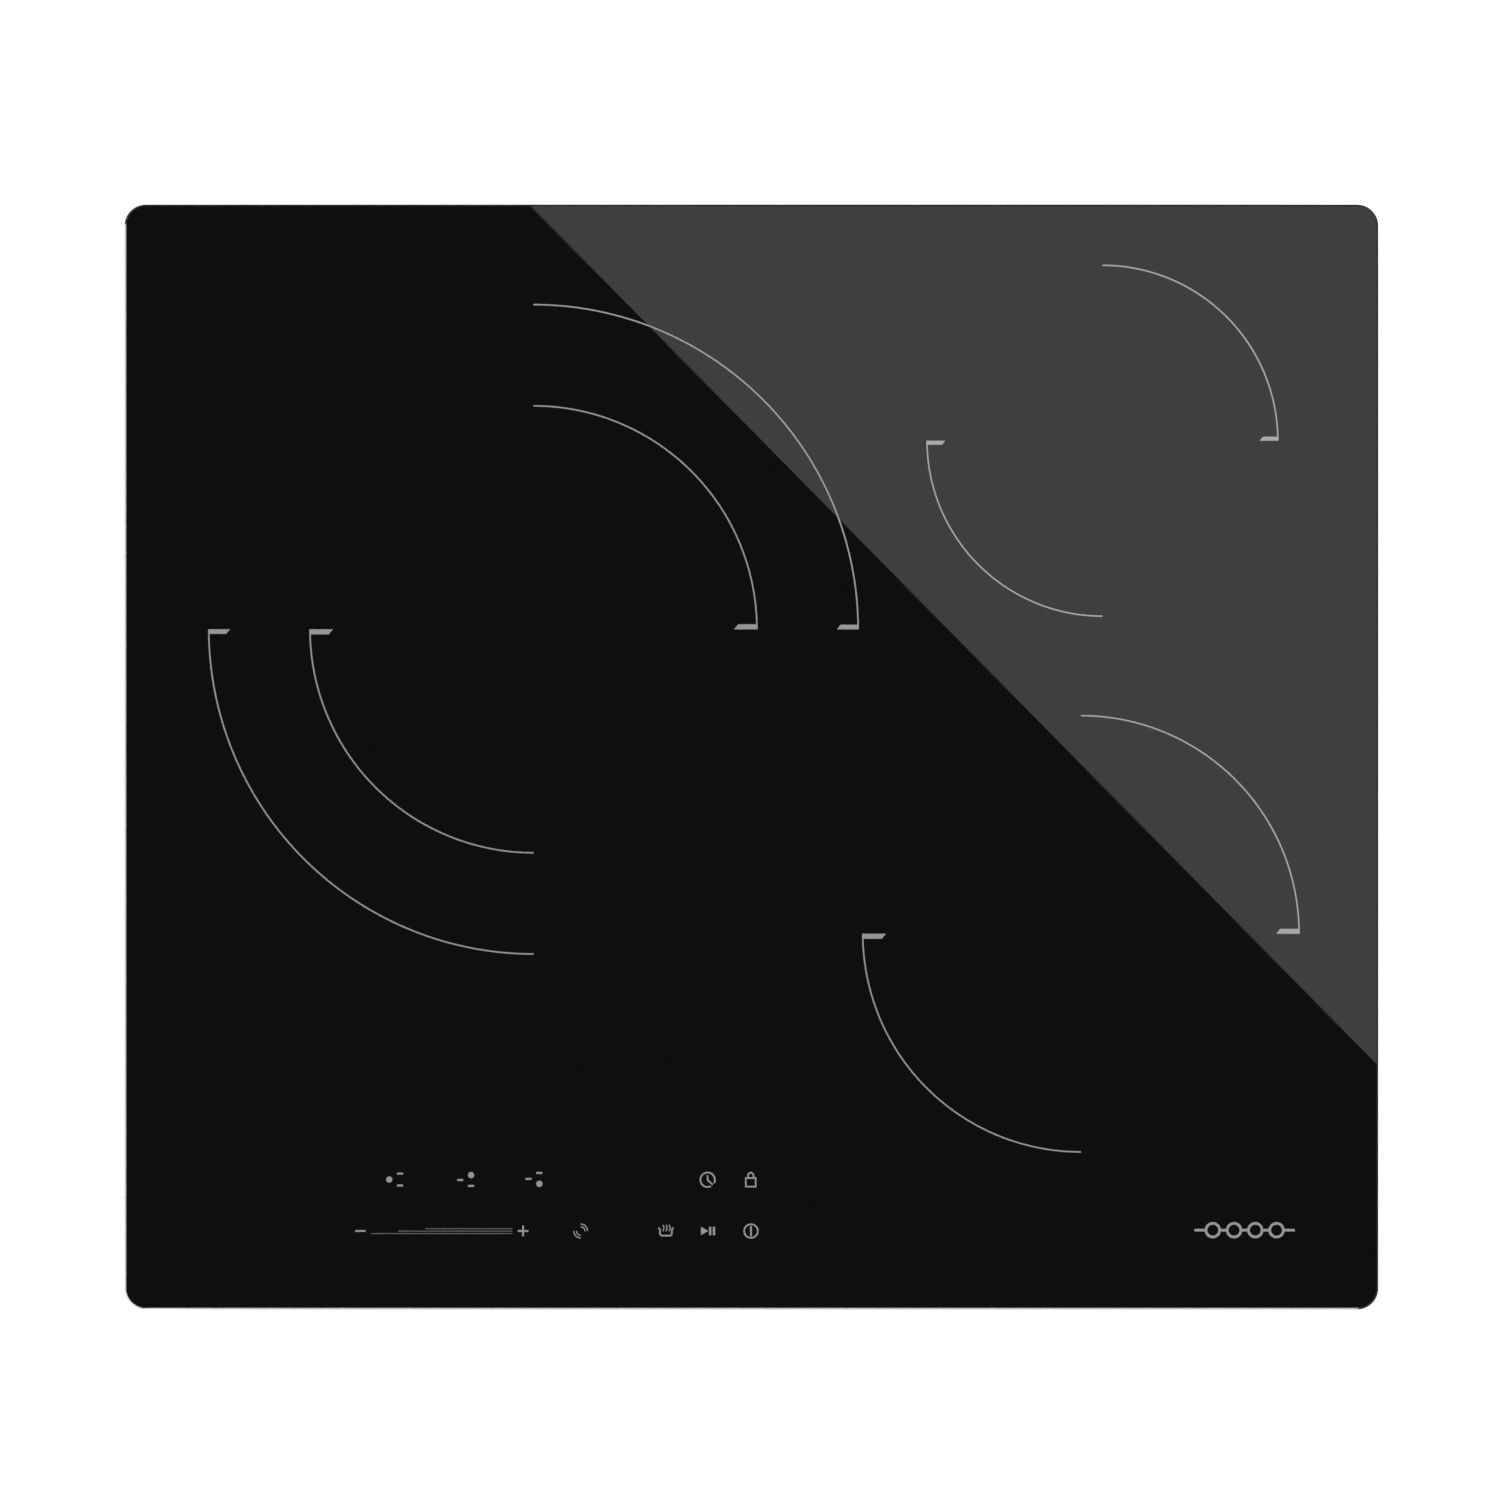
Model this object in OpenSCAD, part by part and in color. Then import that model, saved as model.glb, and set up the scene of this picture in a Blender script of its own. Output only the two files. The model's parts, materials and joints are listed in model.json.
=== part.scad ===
// Three-zone built-in induction cooktop: glass panel, sheet-steel case and everything it holds.
// X runs to the right of the user, Y to the rear, Z up. The origin is the middle of the base.

/* [Glass] */
// Width of the glass panel
glass_w = 590; // [580:1:600]
// Depth of the glass panel, front to rear
glass_d = 520; // [510:1:530]
// Thickness of the glass panel
glass_t = 4; // [3:0.5:5]
// Radius of the panel's corners
glass_r = 10; // [4:1:20]
// Depth of the fired print in the glass surface
print_t = 0.2; // [0.1:0.05:0.4]
// Width of the printed lines of the cooking zones
line_w = 0.75; // [0.5:0.05:1.5]

/* [Case] */
// Height of the whole appliance, from its pressed feet to the glass surface
total_h = 58; // [56:1:62]
// Width of the case below the glass
body_w = 552; // [548:1:556]
// Depth of the case below the glass
body_d = 482; // [478:1:486]
// Height of the step under the case's rim, where the fixing brackets hang
step_z = 22; // [20:1:24]
// Width of that step
step_w = 20; // [20:1:22]
// Thickness of the sheet steel
sheet_t = 0.8; // [0.6:0.1:1]
// Height of the pressed feet
foot_h = 2; // [1.6:0.2:2.4]

/* [Coils] */
// Diameter of the litz wire
litz_d = 3.6; // [3:0.1:3.8]
// Distance from one turn of litz wire to the next
litz_pitch = 4.2; // [4.2:0.1:4.6]
// Travel of the spring-loaded temperature sensors
sensor_travel = 2.5; // [1:0.5:2.5]

/* [Fixing brackets] */
// Reach of each bracket from its screw to its tip
bracket_reach = 34; // [30:1:38]
// Width of each bracket
bracket_w = 15; // [12:1:16]
// Position of the brackets in front of and behind the middle
bracket_y = 150; // [120:5:180]

/* [Hidden] */
$fn = 48;
EPS = 0.01;

// Heights, from the base up
floor_z = foot_h + sheet_t;
glass_z = total_h - glass_t;
bond_t = 0.8;
case_top = glass_z - bond_t;
gasket_t = 3;
carrier_z = 35;
carrier_t = 1;
former_z = carrier_z + carrier_t;
disc_z = former_z + 6;
disc_t = 2;
litz_z = disc_z + disc_t;
litz_gap = 0.3;
hub_top = litz_z + 2;
mica_z = litz_z + 4.8;
mica_t = 1;
board_z = 8;
board_t = 1.6;
board_top = board_z + board_t;
control_z = 43;

// Plan sizes
deep_w = body_w - 2 * step_w;
deep_d = body_d - 2 * step_w;
body_r = 12;
flange_in = 10;
opening = [body_w - 2 * flange_in, body_d - 2 * flange_in];
opening_r = 5;
gasket_w = 8.5;
gasket_inset = 1;

// Cooking zones: name, centre, radius of the former,
// windings as [inner radius, turns], ferrites as [count, inner end, outer end]
ZONES = [
    ["left", [-102.5, 60.1], 148, [[30, 15], [109, 8]], [8, 20, 140]],
    ["rear", [165.1, 148.8], 77, [[24, 11]], [6, 18, 70]],
    ["front", [155, -83.1], 97, [[26, 15]], [8, 18, 90]],
];
WINDINGS = [
    ["winding_left_inner", 0, 0],
    ["winding_left_outer", 0, 1],
    ["winding_rear", 1, 0],
    ["winding_front", 2, 0],
];
// Printed rings: centre, radius, length of the end bar
RINGS = [
    [[-102.5, 60.1], 152.7, 10.3],
    [[-102.5, 60.1], 105.1, 11.1],
    [[165.1, 148.8], 82.5, 8.9],
    [[155, -83.1], 102.6, 11.2],
];

// Touch controls
key_row_y = -198.9;
slider_y = -222.9;
ZONE_KEYS = [[-167.8, -198.7], [-134.4, -198.9], [-102.3, -198.4]];
timer_x = -20.6;
lock_x = -0.3;
dual_x = -80.3;
warm_x = -40.2;
pause_x = -20.3;
power_x = -0.2;
minus_x = -184;
plus_x = -107.4;
slider_x = [-178.8, -112.3];
icon_w = 0.75;
control_centre = [-92, -211];
control_size = [202, 44];

// Corners: name, side along X, side along Y
CORNERS = [["fl", -1, -1], ["fr", 1, -1], ["rl", -1, 1], ["rr", 1, 1]];
SIDES = [["left", -1], ["right", 1]];

// Carriers: name, x range, y range, post positions
CARRIERS = [
    ["left", [-258, 47], [-101, 222], [[-245, -86], [-245, 205], [35, -86], [35, 205]]],
    ["right", [54, 258], [-188, 228], [[63, -174], [245, -174], [63, 207], [245, 207]]],
];
// Power boards: x range, y range
BOARDS = [[[-238, -22], [-82, 118]], [[70, 238], [-82, 118]]];
board_hole_inset = 8;
heatsink_h = 20;

// Fans
fan_x = 150;
fan_y = -140;
fan_r = 48;
fan_h = 22;
fan_wall = 1.6;

// Fixing brackets
bracket_x = body_w / 2 - step_w / 2;
bracket_z = 16;
bracket_t = 2;
bracket_lip = 3;
screw_r = 2;

// Terminal compartment
term_x = 178;
term_w = 100;
term_y = [146, 212];
term_d = term_y[1] - term_y[0];
term_top = 21;
term_wall = 2;
hinge_y = 155;
hinge_z = 5.2;
hinge_pin_r = 1.5;
cover_w = 80;
cover_rear = 205;
cable_z = 12;
cable_r = 5.25;
gland_hole_r = 7.6;

// ---------- Shared shapes ----------

module rounded_rect(size, r) {
    square([size[0] - 2 * r, size[1]], center = true);
    square([size[0], size[1] - 2 * r], center = true);
    for (x = [-1, 1], y = [-1, 1])
        translate([x * (size[0] / 2 - r), y * (size[1] / 2 - r)]) circle(r);
}

// A flat ring between two rounded rectangles
module rounded_frame(outer, inner, r_outer, r_inner) {
    difference() {
        rounded_rect(outer, r_outer);
        rounded_rect(inner, r_inner);
    }
}

// A slot with round ends, along X
module slot(length, width) {
    square([length - width, width], center = true);
    for (x = [-1, 1]) translate([x * (length - width) / 2, 0]) circle(width / 2);
}

// A quarter ring in the first quadrant
module quarter_ring(r, w) {
    intersection() {
        difference() {
            circle(r + w / 2, $fn = 180);
            circle(r - w / 2, $fn = 180);
        }
        square(r + w);
    }
}

function unit(v) = v / norm(v);
function near_axis(t) = abs(t[2]) < 0.8 ? [0, 0, 1] : [1, 0, 0];
function across(v, t) = unit(v - (v * t) * t);
function tangent(path, i) = unit(path[min(i + 1, len(path) - 1)] - path[max(i - 1, 0)]);

// A side vector for each point of a path, carried along it without twisting
function side_vectors(path) = [
    for (i = 0, n = across(near_axis(tangent(path, 0)), tangent(path, 0));
         i < len(path);
         i = i + 1, n = i < len(path) ? across(n, tangent(path, i)) : n) n
];

// A round tube swept along a path of points
module tube(path, r, sides = 6) {
    count = len(path);
    normals = side_vectors(path);
    points = [
        for (i = [0 : count - 1], k = [0 : sides - 1])
            let (t = tangent(path, i), n = normals[i], a = 360 * k / sides)
            path[i] + r * (cos(a) * n + sin(a) * cross(t, n))
    ];
    walls = [
        for (i = [0 : count - 2], k = [0 : sides - 1])
            let (a = i * sides + k, b = i * sides + (k + 1) % sides)
            [a, a + sides, b + sides, b]
    ];
    start_cap = [[for (k = [0 : sides - 1]) k]];
    end_cap = [[for (k = [sides - 1 : -1 : 0]) (count - 1) * sides + k]];
    polyhedron(points, concat(start_cap, walls, end_cap));
}

// A smooth curve through points, with a few steps between each two
function smooth(p, steps = 4) = [
    for (i = [0 : len(p) - 2], s = [0 : steps - 1])
        let (a = p[max(i - 1, 0)], b = p[i], c = p[i + 1], d = p[min(i + 2, len(p) - 1)], t = s / steps)
        0.5 * (2 * b + (c - a) * t + (2 * a - 5 * b + 4 * c - d) * t ^ 2 + (3 * b - a - 3 * c + d) * t ^ 3),
    p[len(p) - 1]
];

// A helical spring standing on z = 0
function helix(r, h, turns, steps) = [
    for (i = [0 : turns * steps])
        let (a = 360 * i / steps) [r * cos(a), r * sin(a), h * i / (turns * steps)]
];

// ---------- Glass and its print ----------

module glass_outline() rounded_rect([glass_w, glass_d], glass_r);

// The bar at the end of a zone's arc, with a slanted tip; its length runs inwards from the ring
module end_bar(r, length) {
    bar_t = length / 4.8;
    tip = 0.85 * bar_t;
    outer = r + line_w / 2;
    polygon([[outer, 0], [outer - length, 0], [outer - length + tip, bar_t], [outer, bar_t]]);
}

// Two opposite quarter arcs, each with an end bar
module zone_ring(ring) {
    translate(ring[0]) for (a = [0, 180]) rotate(a) {
        quarter_ring(ring[1], line_w);
        end_bar(ring[1], ring[2]);
    }
}

module stroke(from, to, w = icon_w) {
    d = to - from;
    translate(from) rotate(atan2(d[1], d[0])) translate([0, -w / 2]) square([norm(d), w]);
}

// Marks that show which zone a key selects: one dot and two dashes
module zone_key(index) {
    spots = [[-2.55, 0], [2.55, 1], [2.55, -1]];
    for (i = [0 : 2])
        if (i == index) translate([spots[i][0], 2.3 * spots[i][1]]) circle(1.45);
        else translate([spots[i][0], 2.8 * spots[i][1]]) square([2.8, 0.9], center = true);
}

module timer_icon() {
    difference() {
        circle(3.8);
        circle(3.05);
        rotate(-48) translate([2, -0.9]) square([3, 0.7]);
    }
    stroke([0, -0.2], [0, 2.3]);
    stroke([0, 0.2], [2.7, -2.1]);
}

module lock_icon() {
    body = [5.4, 4.8];
    translate([0, -1.1]) difference() {
        square(body, center = true);
        square(body - 2 * icon_w * [1, 1], center = true);
    }
    translate([0, 2.15]) difference() {
        union() {
            circle(1.65);
            translate([-1.65, -0.9]) square([3.3, 0.9]);
        }
        circle(0.95);
        translate([-0.95, -1]) square([1.9, 1]);
    }
}

module power_icon() {
    difference() {
        circle(3.7);
        circle(2.95);
    }
    square([0.8, 5], center = true);
}

module pause_icon() {
    translate([-2.2, 0]) polygon([[-1.7, -2], [-1.7, 2], [1.7, 0]]);
    for (x = [1, 2.9]) translate([x, 0]) square([1.05, 4], center = true);
}

// An open pan with a flat floor and rounded corners
module pan(side, floor_y, r, rim_y) {
    for (x = [-1, 1]) translate([x * (side - r), floor_y + r]) circle(r);
    translate([r - side, floor_y]) square([2 * (side - r), r]);
    translate([-side, floor_y + r]) square([2 * side, rim_y - floor_y - r]);
}

// A pan with flared grips and three wisps of steam
module warm_icon() {
    difference() {
        pan(3.15, -2.55, 1.4, 0.9);
        pan(2.45, -1.85, 0.7, 1);
    }
    for (x = [-1, 1]) stroke([x * 2.8, 0.6], [x * 3.5, 1.5], 0.7);
    for (x = [-1, 0.45, 1.9]) translate([x - 2.3, 1.4]) intersection() {
        difference() {
            circle(2.55);
            circle(2.1);
        }
        translate([0, -1.5]) square([3, 3]);
    }
}

module dual_icon()
    for (a = [0, 180], r = [2, 3.25]) rotate(a) quarter_ring(r, 0.45);

// Minus, three rising lines and plus
module slider_icon() {
    for (i = [0 : 2]) translate([slider_x[0] + 12.8 * i, slider_y - 1.3 + 1.15 * i])
        square([slider_x[1] - slider_x[0] - 12.8 * i, 0.4]);
    translate([minus_x, slider_y]) square([4.8, 0.8], center = true);
    translate([plus_x, slider_y]) {
        square([4.9, 0.7], center = true);
        for (y = [-1.4, 1.4]) translate([0, y]) square([0.7, 2.1], center = true);
    }
}

// A plain row of coil loops, as a generic sign for induction
module induction_sign() {
    translate([232, -222.5]) {
        for (x = [-15, -5, 5, 15]) translate([x, 0]) difference() {
            circle(3.8);
            circle(2.6);
        }
        for (x = [-10, 0, 10]) translate([x, 0]) square([2.6, 1.2], center = true);
        for (x = [-1, 1]) translate([x * 21.2, 0]) square([5.2, 1.2], center = true);
    }
}

module print_shapes() {
    for (ring = RINGS) zone_ring(ring);
    for (i = [0 : 2]) translate(ZONE_KEYS[i]) zone_key(i);
    translate([timer_x, key_row_y]) timer_icon();
    translate([lock_x, key_row_y]) lock_icon();
    translate([dual_x, slider_y]) dual_icon();
    translate([warm_x, slider_y]) warm_icon();
    translate([pause_x, slider_y]) pause_icon();
    translate([power_x, slider_y]) power_icon();
    slider_icon();
    induction_sign();
}

module glass_panel() color("#0e100f") difference() {
    translate([0, 0, glass_z]) linear_extrude(glass_t) glass_outline();
    translate([0, 0, total_h - print_t]) linear_extrude(print_t + 1) print_shapes();
}

module glass_print() color("#939796")
    translate([0, 0, total_h - print_t]) linear_extrude(print_t) print_shapes();

module rim_gasket() color("#2a2a2a") {
    outer = [glass_w, glass_d] - 2 * gasket_inset * [1, 1];
    translate([0, 0, glass_z - gasket_t]) linear_extrude(gasket_t)
        rounded_frame(outer, outer - 2 * gasket_w * [1, 1], glass_r - 1, 5);
}

module glass_bond() color("#8c8f90")
    translate([0, 0, case_top]) linear_extrude(bond_t)
        rounded_frame([body_w - 1, body_d - 1], opening, body_r - 0.5, opening_r);

// ---------- Case ----------

// Places its children under each coil carrier's posts
module at_posts() for (c = CARRIERS, p = c[3]) translate(p) children();

// Places its children at the four corner holes of each power board
module at_board_holes() {
    inset = [board_hole_inset, -board_hole_inset];
    for (b = BOARDS, x = [0, 1], y = [0, 1]) translate([b[0][x] + inset[x], b[1][y] + inset[y]]) children();
}

module at_fans() for (s = SIDES) translate([s[1] * fan_x, fan_y]) children();

module at_brackets() for (c = CORNERS) translate([c[1] * bracket_x, c[2] * bracket_y]) children();

// Ring-shaped air slots with six spokes between them
module fan_grille() {
    difference() {
        for (r = [7 : 6.5 : 30]) difference() {
            circle(r + 1.75);
            circle(r - 1.75);
        }
        for (a = [0 : 60 : 120]) rotate(a) square([80, 3], center = true);
    }
}

module foot() difference() {
    cylinder(r1 = 7, r2 = 10, h = foot_h + sheet_t);
    translate([0, 0, sheet_t]) cylinder(r1 = 6.4, r2 = 9.5, h = foot_h + EPS);
}

// The rear right foot stands clear of the terminals
feet = [[-225, -195], [0, -195], [225, -195], [-225, 190], [0, 195], [240, 172]];

// A raised hollow boss that a power board stands on
module board_boss() difference() {
    translate([0, 0, floor_z - EPS]) cylinder(r = 4, h = board_z - floor_z + EPS);
    translate([0, 0, floor_z + 1]) cylinder(r = 1.6, h = board_z);
}

module case_blank() {
    lower = [deep_w, deep_d];
    upper = [body_w, body_d];
    skin = 2 * sheet_t * [1, 1];
    difference() {
        union() {
            translate([0, 0, foot_h]) linear_extrude(step_z - foot_h + sheet_t) rounded_rect(lower, body_r);
            translate([0, 0, step_z]) linear_extrude(case_top - step_z) rounded_rect(upper, body_r);
        }
        translate([0, 0, floor_z]) linear_extrude(step_z) rounded_rect(lower - skin, body_r - sheet_t);
        translate([0, 0, step_z + sheet_t]) linear_extrude(case_top - step_z - 2 * sheet_t)
            rounded_rect(upper - skin, body_r - sheet_t);
        // The rim turns inwards under the glass
        translate([0, 0, case_top - 5]) linear_extrude(10) rounded_rect(opening, opening_r);
        for (p = feet) translate(p) cylinder(r = 8, h = floor_z + 1);
    }
    for (p = feet) translate(p) foot();
}

// Two long pressed beads that stiffen the floor between the fans
bead_x = [-32, 32];
module bead(grow) translate([0, -146]) rotate(90) slot(94 + 2 * grow, 8 + 2 * grow);

// Air leaves through upright slots in the rear and front walls of the lower tray
slot_pitch = 9;
module wall_slots() {
    for (i = [0 : 19]) translate([-205 + slot_pitch * i, deep_d / 2 - 3, 6]) cube([3.5, 6, 12]);
    for (i = [0 : 7]) translate([30 + slot_pitch * i, deep_d / 2 - 3, 6]) cube([3.5, 6, 12]);
    for (i = [0 : 21]) translate([-97 + slot_pitch * i, -deep_d / 2 - 3, 6]) cube([3.5, 6, 12]);
}

module floor_slots() {
    for (x = [-150, 20], i = [0 : 9]) translate([x + 9 * i, 165]) rotate(90) slot(44, 3.5);
}

module bottom_case() color("#b9bdbf") {
    difference() {
        union() {
            case_blank();
            at_board_holes() board_boss();
            for (x = bead_x) translate([x, 0, foot_h - 1]) linear_extrude(1 + EPS) bead(0.8);
        }
        for (x = bead_x) translate([x, 0, foot_h - 0.3]) linear_extrude(3) bead(0);
        translate([0, 0, -1]) linear_extrude(foot_h + 3) {
            at_fans() fan_grille();
            floor_slots();
            at_posts() circle(2.2);
        }
        // Access to the terminals, closed by the hinged cover
        translate([term_x - cover_w / 2 - 1, hinge_y - 6, -1])
            cube([cover_w + 2, cover_rear + 1 - hinge_y + 6, foot_h + 3]);
        wall_slots();
        translate([term_x, deep_d / 2, cable_z]) rotate([90, 0, 0])
            cylinder(r = gland_hole_r, h = 10, center = true);
        translate([0, 0, step_z - 1]) at_brackets() cylinder(r = 3.6, h = sheet_t + 2);
    }
}

// Threaded inserts in the step, one for each clamp screw
module rivet_nuts() color("#c9b36a") translate([0, 0, step_z]) at_brackets() difference() {
    union() {
        translate([0, 0, -0.8]) cylinder(r = 5, h = 0.8);
        cylinder(r = 3.6, h = 7);
    }
    translate([0, 0, -2]) cylinder(r = screw_r + 0.05, h = 12);
}

// A cross-head screw that points up, its head below z = 0
module screw_up(head_r, head_h, shank_r, length) {
    difference() {
        union() {
            translate([0, 0, -head_h]) cylinder(r = head_r, h = head_h);
            cylinder(r = shank_r, h = length);
        }
        translate([0, 0, -head_h - EPS]) for (a = [0, 90]) rotate(a)
            translate([-head_r * 0.6, -0.5, 0]) cube([head_r * 1.2, 1, head_h * 0.6]);
    }
}

// Screws that hold the carrier posts to the floor, and the carriers to the posts
module case_screws() color("#a8abad") {
    at_posts() translate([0, 0, foot_h]) screw_up(3.6, 1.6, 1.6, 9);
    at_posts() translate([0, 0, former_z]) rotate([180, 0, 0]) screw_up(3.6, 1.6, 1.6, 7);
}

// ---------- Fixing brackets ----------

module at_corner(c) translate([c[1] * bracket_x, c[2] * bracket_y, 0]) children();

module clamp_screw(c) color("#9fa3a6") at_corner(c) translate([0, 0, bracket_z])
    screw_up(4.2, 2.4, screw_r, 25);

// A flat bracket with an upturned lip, tucked along the step at rest, its tip towards the middle
module clamp_bracket(c) color("#aeb2b4") at_corner(c) rotate(-90 * c[2]) translate([0, 0, bracket_z])
    difference() {
        union() {
            linear_extrude(bracket_t) {
                circle(bracket_w / 2);
                translate([0, -bracket_w / 2]) square([bracket_reach, bracket_w]);
            }
            translate([bracket_reach - bracket_t, -bracket_w / 2, 0])
                cube([bracket_t, bracket_w, bracket_t + bracket_lip]);
        }
        translate([0, 0, -1]) cylinder(r = screw_r + 0.1, h = bracket_t + 2);
        translate([21, 0, -1]) linear_extrude(bracket_t + 2) slot(13, 4);
    }

// ---------- Mains terminals ----------

hinge_lug_x = cover_w / 2 - 4;

module terminal_housing() color("#d9d6cc") difference() {
    union() {
        translate([term_x - term_w / 2, term_y[0], floor_z])
            cube([term_w, term_d, term_top - floor_z]);
    }
    difference() {
        translate([term_x - term_w / 2 + term_wall, term_y[0] + term_wall, floor_z - 1])
            cube([term_w - 2 * term_wall, term_d - 2 * term_wall, term_top - term_wall - floor_z + 1]);
        // Hinge lugs at both ends of the cover
        for (x = [-1, 1]) translate([term_x + x * (hinge_lug_x + 2) - 1.9, term_y[0], floor_z])
            cube([3.8, 12, 5.2]);
        // Posts for the cable clamp
        for (x = [-13, 13]) translate([term_x + x, 204, 8.5]) cylinder(r = 3.5, h = 12);
    }
    translate([term_x - cover_w / 2 - 2, hinge_y, hinge_z]) rotate([0, 90, 0])
        cylinder(r = hinge_pin_r + 0.1, h = cover_w + 4);
    for (x = [-13, 13]) translate([term_x + x, 204, 8]) cylinder(r = 1.55, h = 11);
    translate([term_x - 10, term_y[1] - 4, 0]) cube([20, 8, 18]);
    // Way out for the conductors to the power board
    translate([term_x - 14, term_y[0] - 1, cable_z - 3]) cube([28, term_wall + 2, 6]);
}

module terminal_block() color("#e8e6df") {
    pole_w = 11;
    poles = 5;
    size = [poles * pole_w + 5, 20, 12];
    screw_rows = [5, 15];
    pole_x = [for (i = [0 : poles - 1]) 2.5 + pole_w * (i + 0.5)];
    translate([term_x - size[0] / 2, 178, term_top - term_wall - size[2]]) {
        difference() {
            cube(size);
            for (x = pole_x) {
                for (y = screw_rows) translate([x, y, -1]) cylinder(r = 2.4, h = 6);
                translate([x, -1, 7.5]) rotate([-90, 0, 0]) cylinder(r = 2.2, h = 22);
            }
            for (i = [1 : poles - 1]) translate([2.5 + pole_w * i - 0.4, -1, -1]) cube([0.8, 22, 4]);
        }
        // Terminal screws, seen from below
        for (x = pole_x, y = screw_rows) translate([x, y, 1.5]) difference() {
            cylinder(r = 2.3, h = 3.5);
            translate([-2, -0.4, -1]) cube([4, 0.8, 2]);
        }
    }
}

// The cover hangs on two stub pins at its front edge and swings down
module terminal_cover() color("#4a4d4f") {
    knuckle_r = 2.4;
    plate_z = foot_h - 1.2;
    plate_t = 2;
    narrow = cover_w - 8.4;
    difference() {
        union() {
            translate([term_x - narrow / 2, hinge_y - 3, plate_z]) cube([narrow, 12, plate_t]);
            translate([term_x - cover_w / 2, hinge_y + 8, plate_z])
                cube([cover_w, cover_rear - hinge_y - 8, plate_t]);
            for (x = [-1, 1]) translate([term_x + x * (narrow / 2 - 4), hinge_y, hinge_z]) {
                rotate([0, 90, 0]) cylinder(r = knuckle_r, h = 8, center = true);
                translate([-4, -knuckle_r, plate_z + plate_t - hinge_z - EPS])
                    cube([8, 2 * knuckle_r, hinge_z - plate_z - plate_t]);
            }
            for (x = [-1, 1]) translate([term_x + x * (narrow / 2 + 1.9), hinge_y, hinge_z])
                rotate([0, 90, 0]) cylinder(r = hinge_pin_r, h = 3.8 + EPS, center = true);
            // Inner ribs
            for (x = [-24, 24]) translate([term_x + x - 1, hinge_y + 10, plate_z + plate_t - EPS])
                cube([2, 34, 1.2]);
        }
        // Finger notch at the free edge
        translate([term_x, cover_rear, plate_z - 1]) cylinder(r = 7, h = 2);
        // Grip lines across the outside
        for (y = [14 : 2.4 : 24]) translate([term_x - 15, cover_rear - y, plate_z - EPS]) cube([30, 1, 0.5]);
    }
}

// Rubber bush in the rear wall: its throat grips the mains lead outside the wall
module cable_gland() color("#1d1d1d") translate([term_x, deep_d / 2, cable_z]) rotate([-90, 0, 0]) {
    mouth_r = cable_r + 1;
    throat_from = 0.6;
    rotate_extrude() polygon([
        [mouth_r, -5], [9, -5], [9, -sheet_t - 0.1], [7.5, -sheet_t - 0.1],
        [7.5, 0.1], [9, 0.1], [9, 3], [7.4, 9], [cable_r, 9], [cable_r, throat_from], [mouth_r, throat_from],
    ]);
}

module cable_clamp() color("#d8d4c8") {
    translate([term_x, 204, 0]) difference() {
        translate([-17, -4, 4.2]) cube([34, 8, 4.3]);
        translate([0, 0, cable_z]) rotate([90, 0, 0]) cylinder(r = cable_r + 0.2, h = 10, center = true);
        for (x = [-13, 13]) translate([x, 0, 3]) cylinder(r = 1.7, h = 8);
    }
    for (x = [-13, 13]) translate([term_x + x, 204, 4.2]) screw_up(2.6, 1.2, 1.5, 13);
}

// ---------- Coils ----------

module coil_carrier(c) color("#cfd2d4") {
    size = [c[1][1] - c[1][0], c[2][1] - c[2][0]];
    centre = [(c[1][0] + c[1][1]) / 2, (c[2][0] + c[2][1]) / 2];
    rim_h = 6;
    difference() {
        translate([centre[0], centre[1], carrier_z]) {
            linear_extrude(carrier_t) rounded_rect(size, 6);
            // Turned-down rims along both long edges
            for (x = [-1, 1]) translate([x * (size[0] / 2 - carrier_t / 2), 0, -rim_h / 2 + EPS])
                cube([carrier_t, size[1] - 30, rim_h], center = true);
        }
        translate([0, 0, carrier_z - 1]) {
            for (p = c[3]) translate(p) cylinder(r = 2.2, h = carrier_t + 2);
            for (z = ZONES) translate(z[1]) cylinder(r = 12, h = carrier_t + 2);
            for (h = LEAD_HOLES) translate(h) cylinder(r = lead_hole_r, h = carrier_t + 2);
        }
    }
}

module carrier_posts() color("#b8b39a") at_posts() difference() {
    translate([0, 0, floor_z]) cylinder(r = 4, h = carrier_z - floor_z);
    translate([0, 0, floor_z - 1]) cylinder(r = 1.65, h = 10);
    translate([0, 0, carrier_z - 8]) cylinder(r = 1.65, h = 9);
}

sensor_r = 5;
sensor_gap = 0.3;
hub_r = 9;

// Moulded disc with a hub, a rim and a guide bore for the sensor
module coil_former(z) color("#e9e4d2") translate([z[1][0], z[1][1], 0]) {
    bore = sensor_r + sensor_gap;
    rim = z[2];
    rotate_extrude($fn = 96) polygon([
        [bore, former_z], [hub_r, former_z], [hub_r, disc_z], [rim - 2, disc_z], [rim - 2, former_z],
        [rim, former_z], [rim, litz_z + 1.6], [rim - 1.5, litz_z + 1.6], [rim - 1.5, litz_z],
        [hub_r + 2, litz_z], [hub_r + 2, hub_top], [bore, hub_top],
    ]);
}

// A flat spiral of half turns about two centres, so that each half meets the next
module winding(w) color("#b5672f") {
    zone = ZONES[w[1]];
    r0 = zone[3][w[2]][0];
    halves = 2 * zone[3][w[2]][1];
    translate([zone[1][0], zone[1][1], litz_z + litz_gap + litz_d / 2])
        for (k = [0 : halves - 1]) translate([k % 2 * litz_pitch / 2, 0, 0]) rotate(180 * (k % 2))
            rotate_extrude(angle = 180, $fn = 96)
                translate([r0 + k * litz_pitch / 2, 0]) circle(litz_d / 2, $fn = 24);
}

module ferrite_bars(z) color("#3a3b3d") translate([z[1][0], z[1][1], former_z + 0.8])
    for (i = [0 : z[4][0] - 1]) rotate(360 * (i + 0.5) / z[4][0])
        translate([z[4][1], -7, 0]) cube([z[4][2] - z[4][1], 14, 5]);

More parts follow.
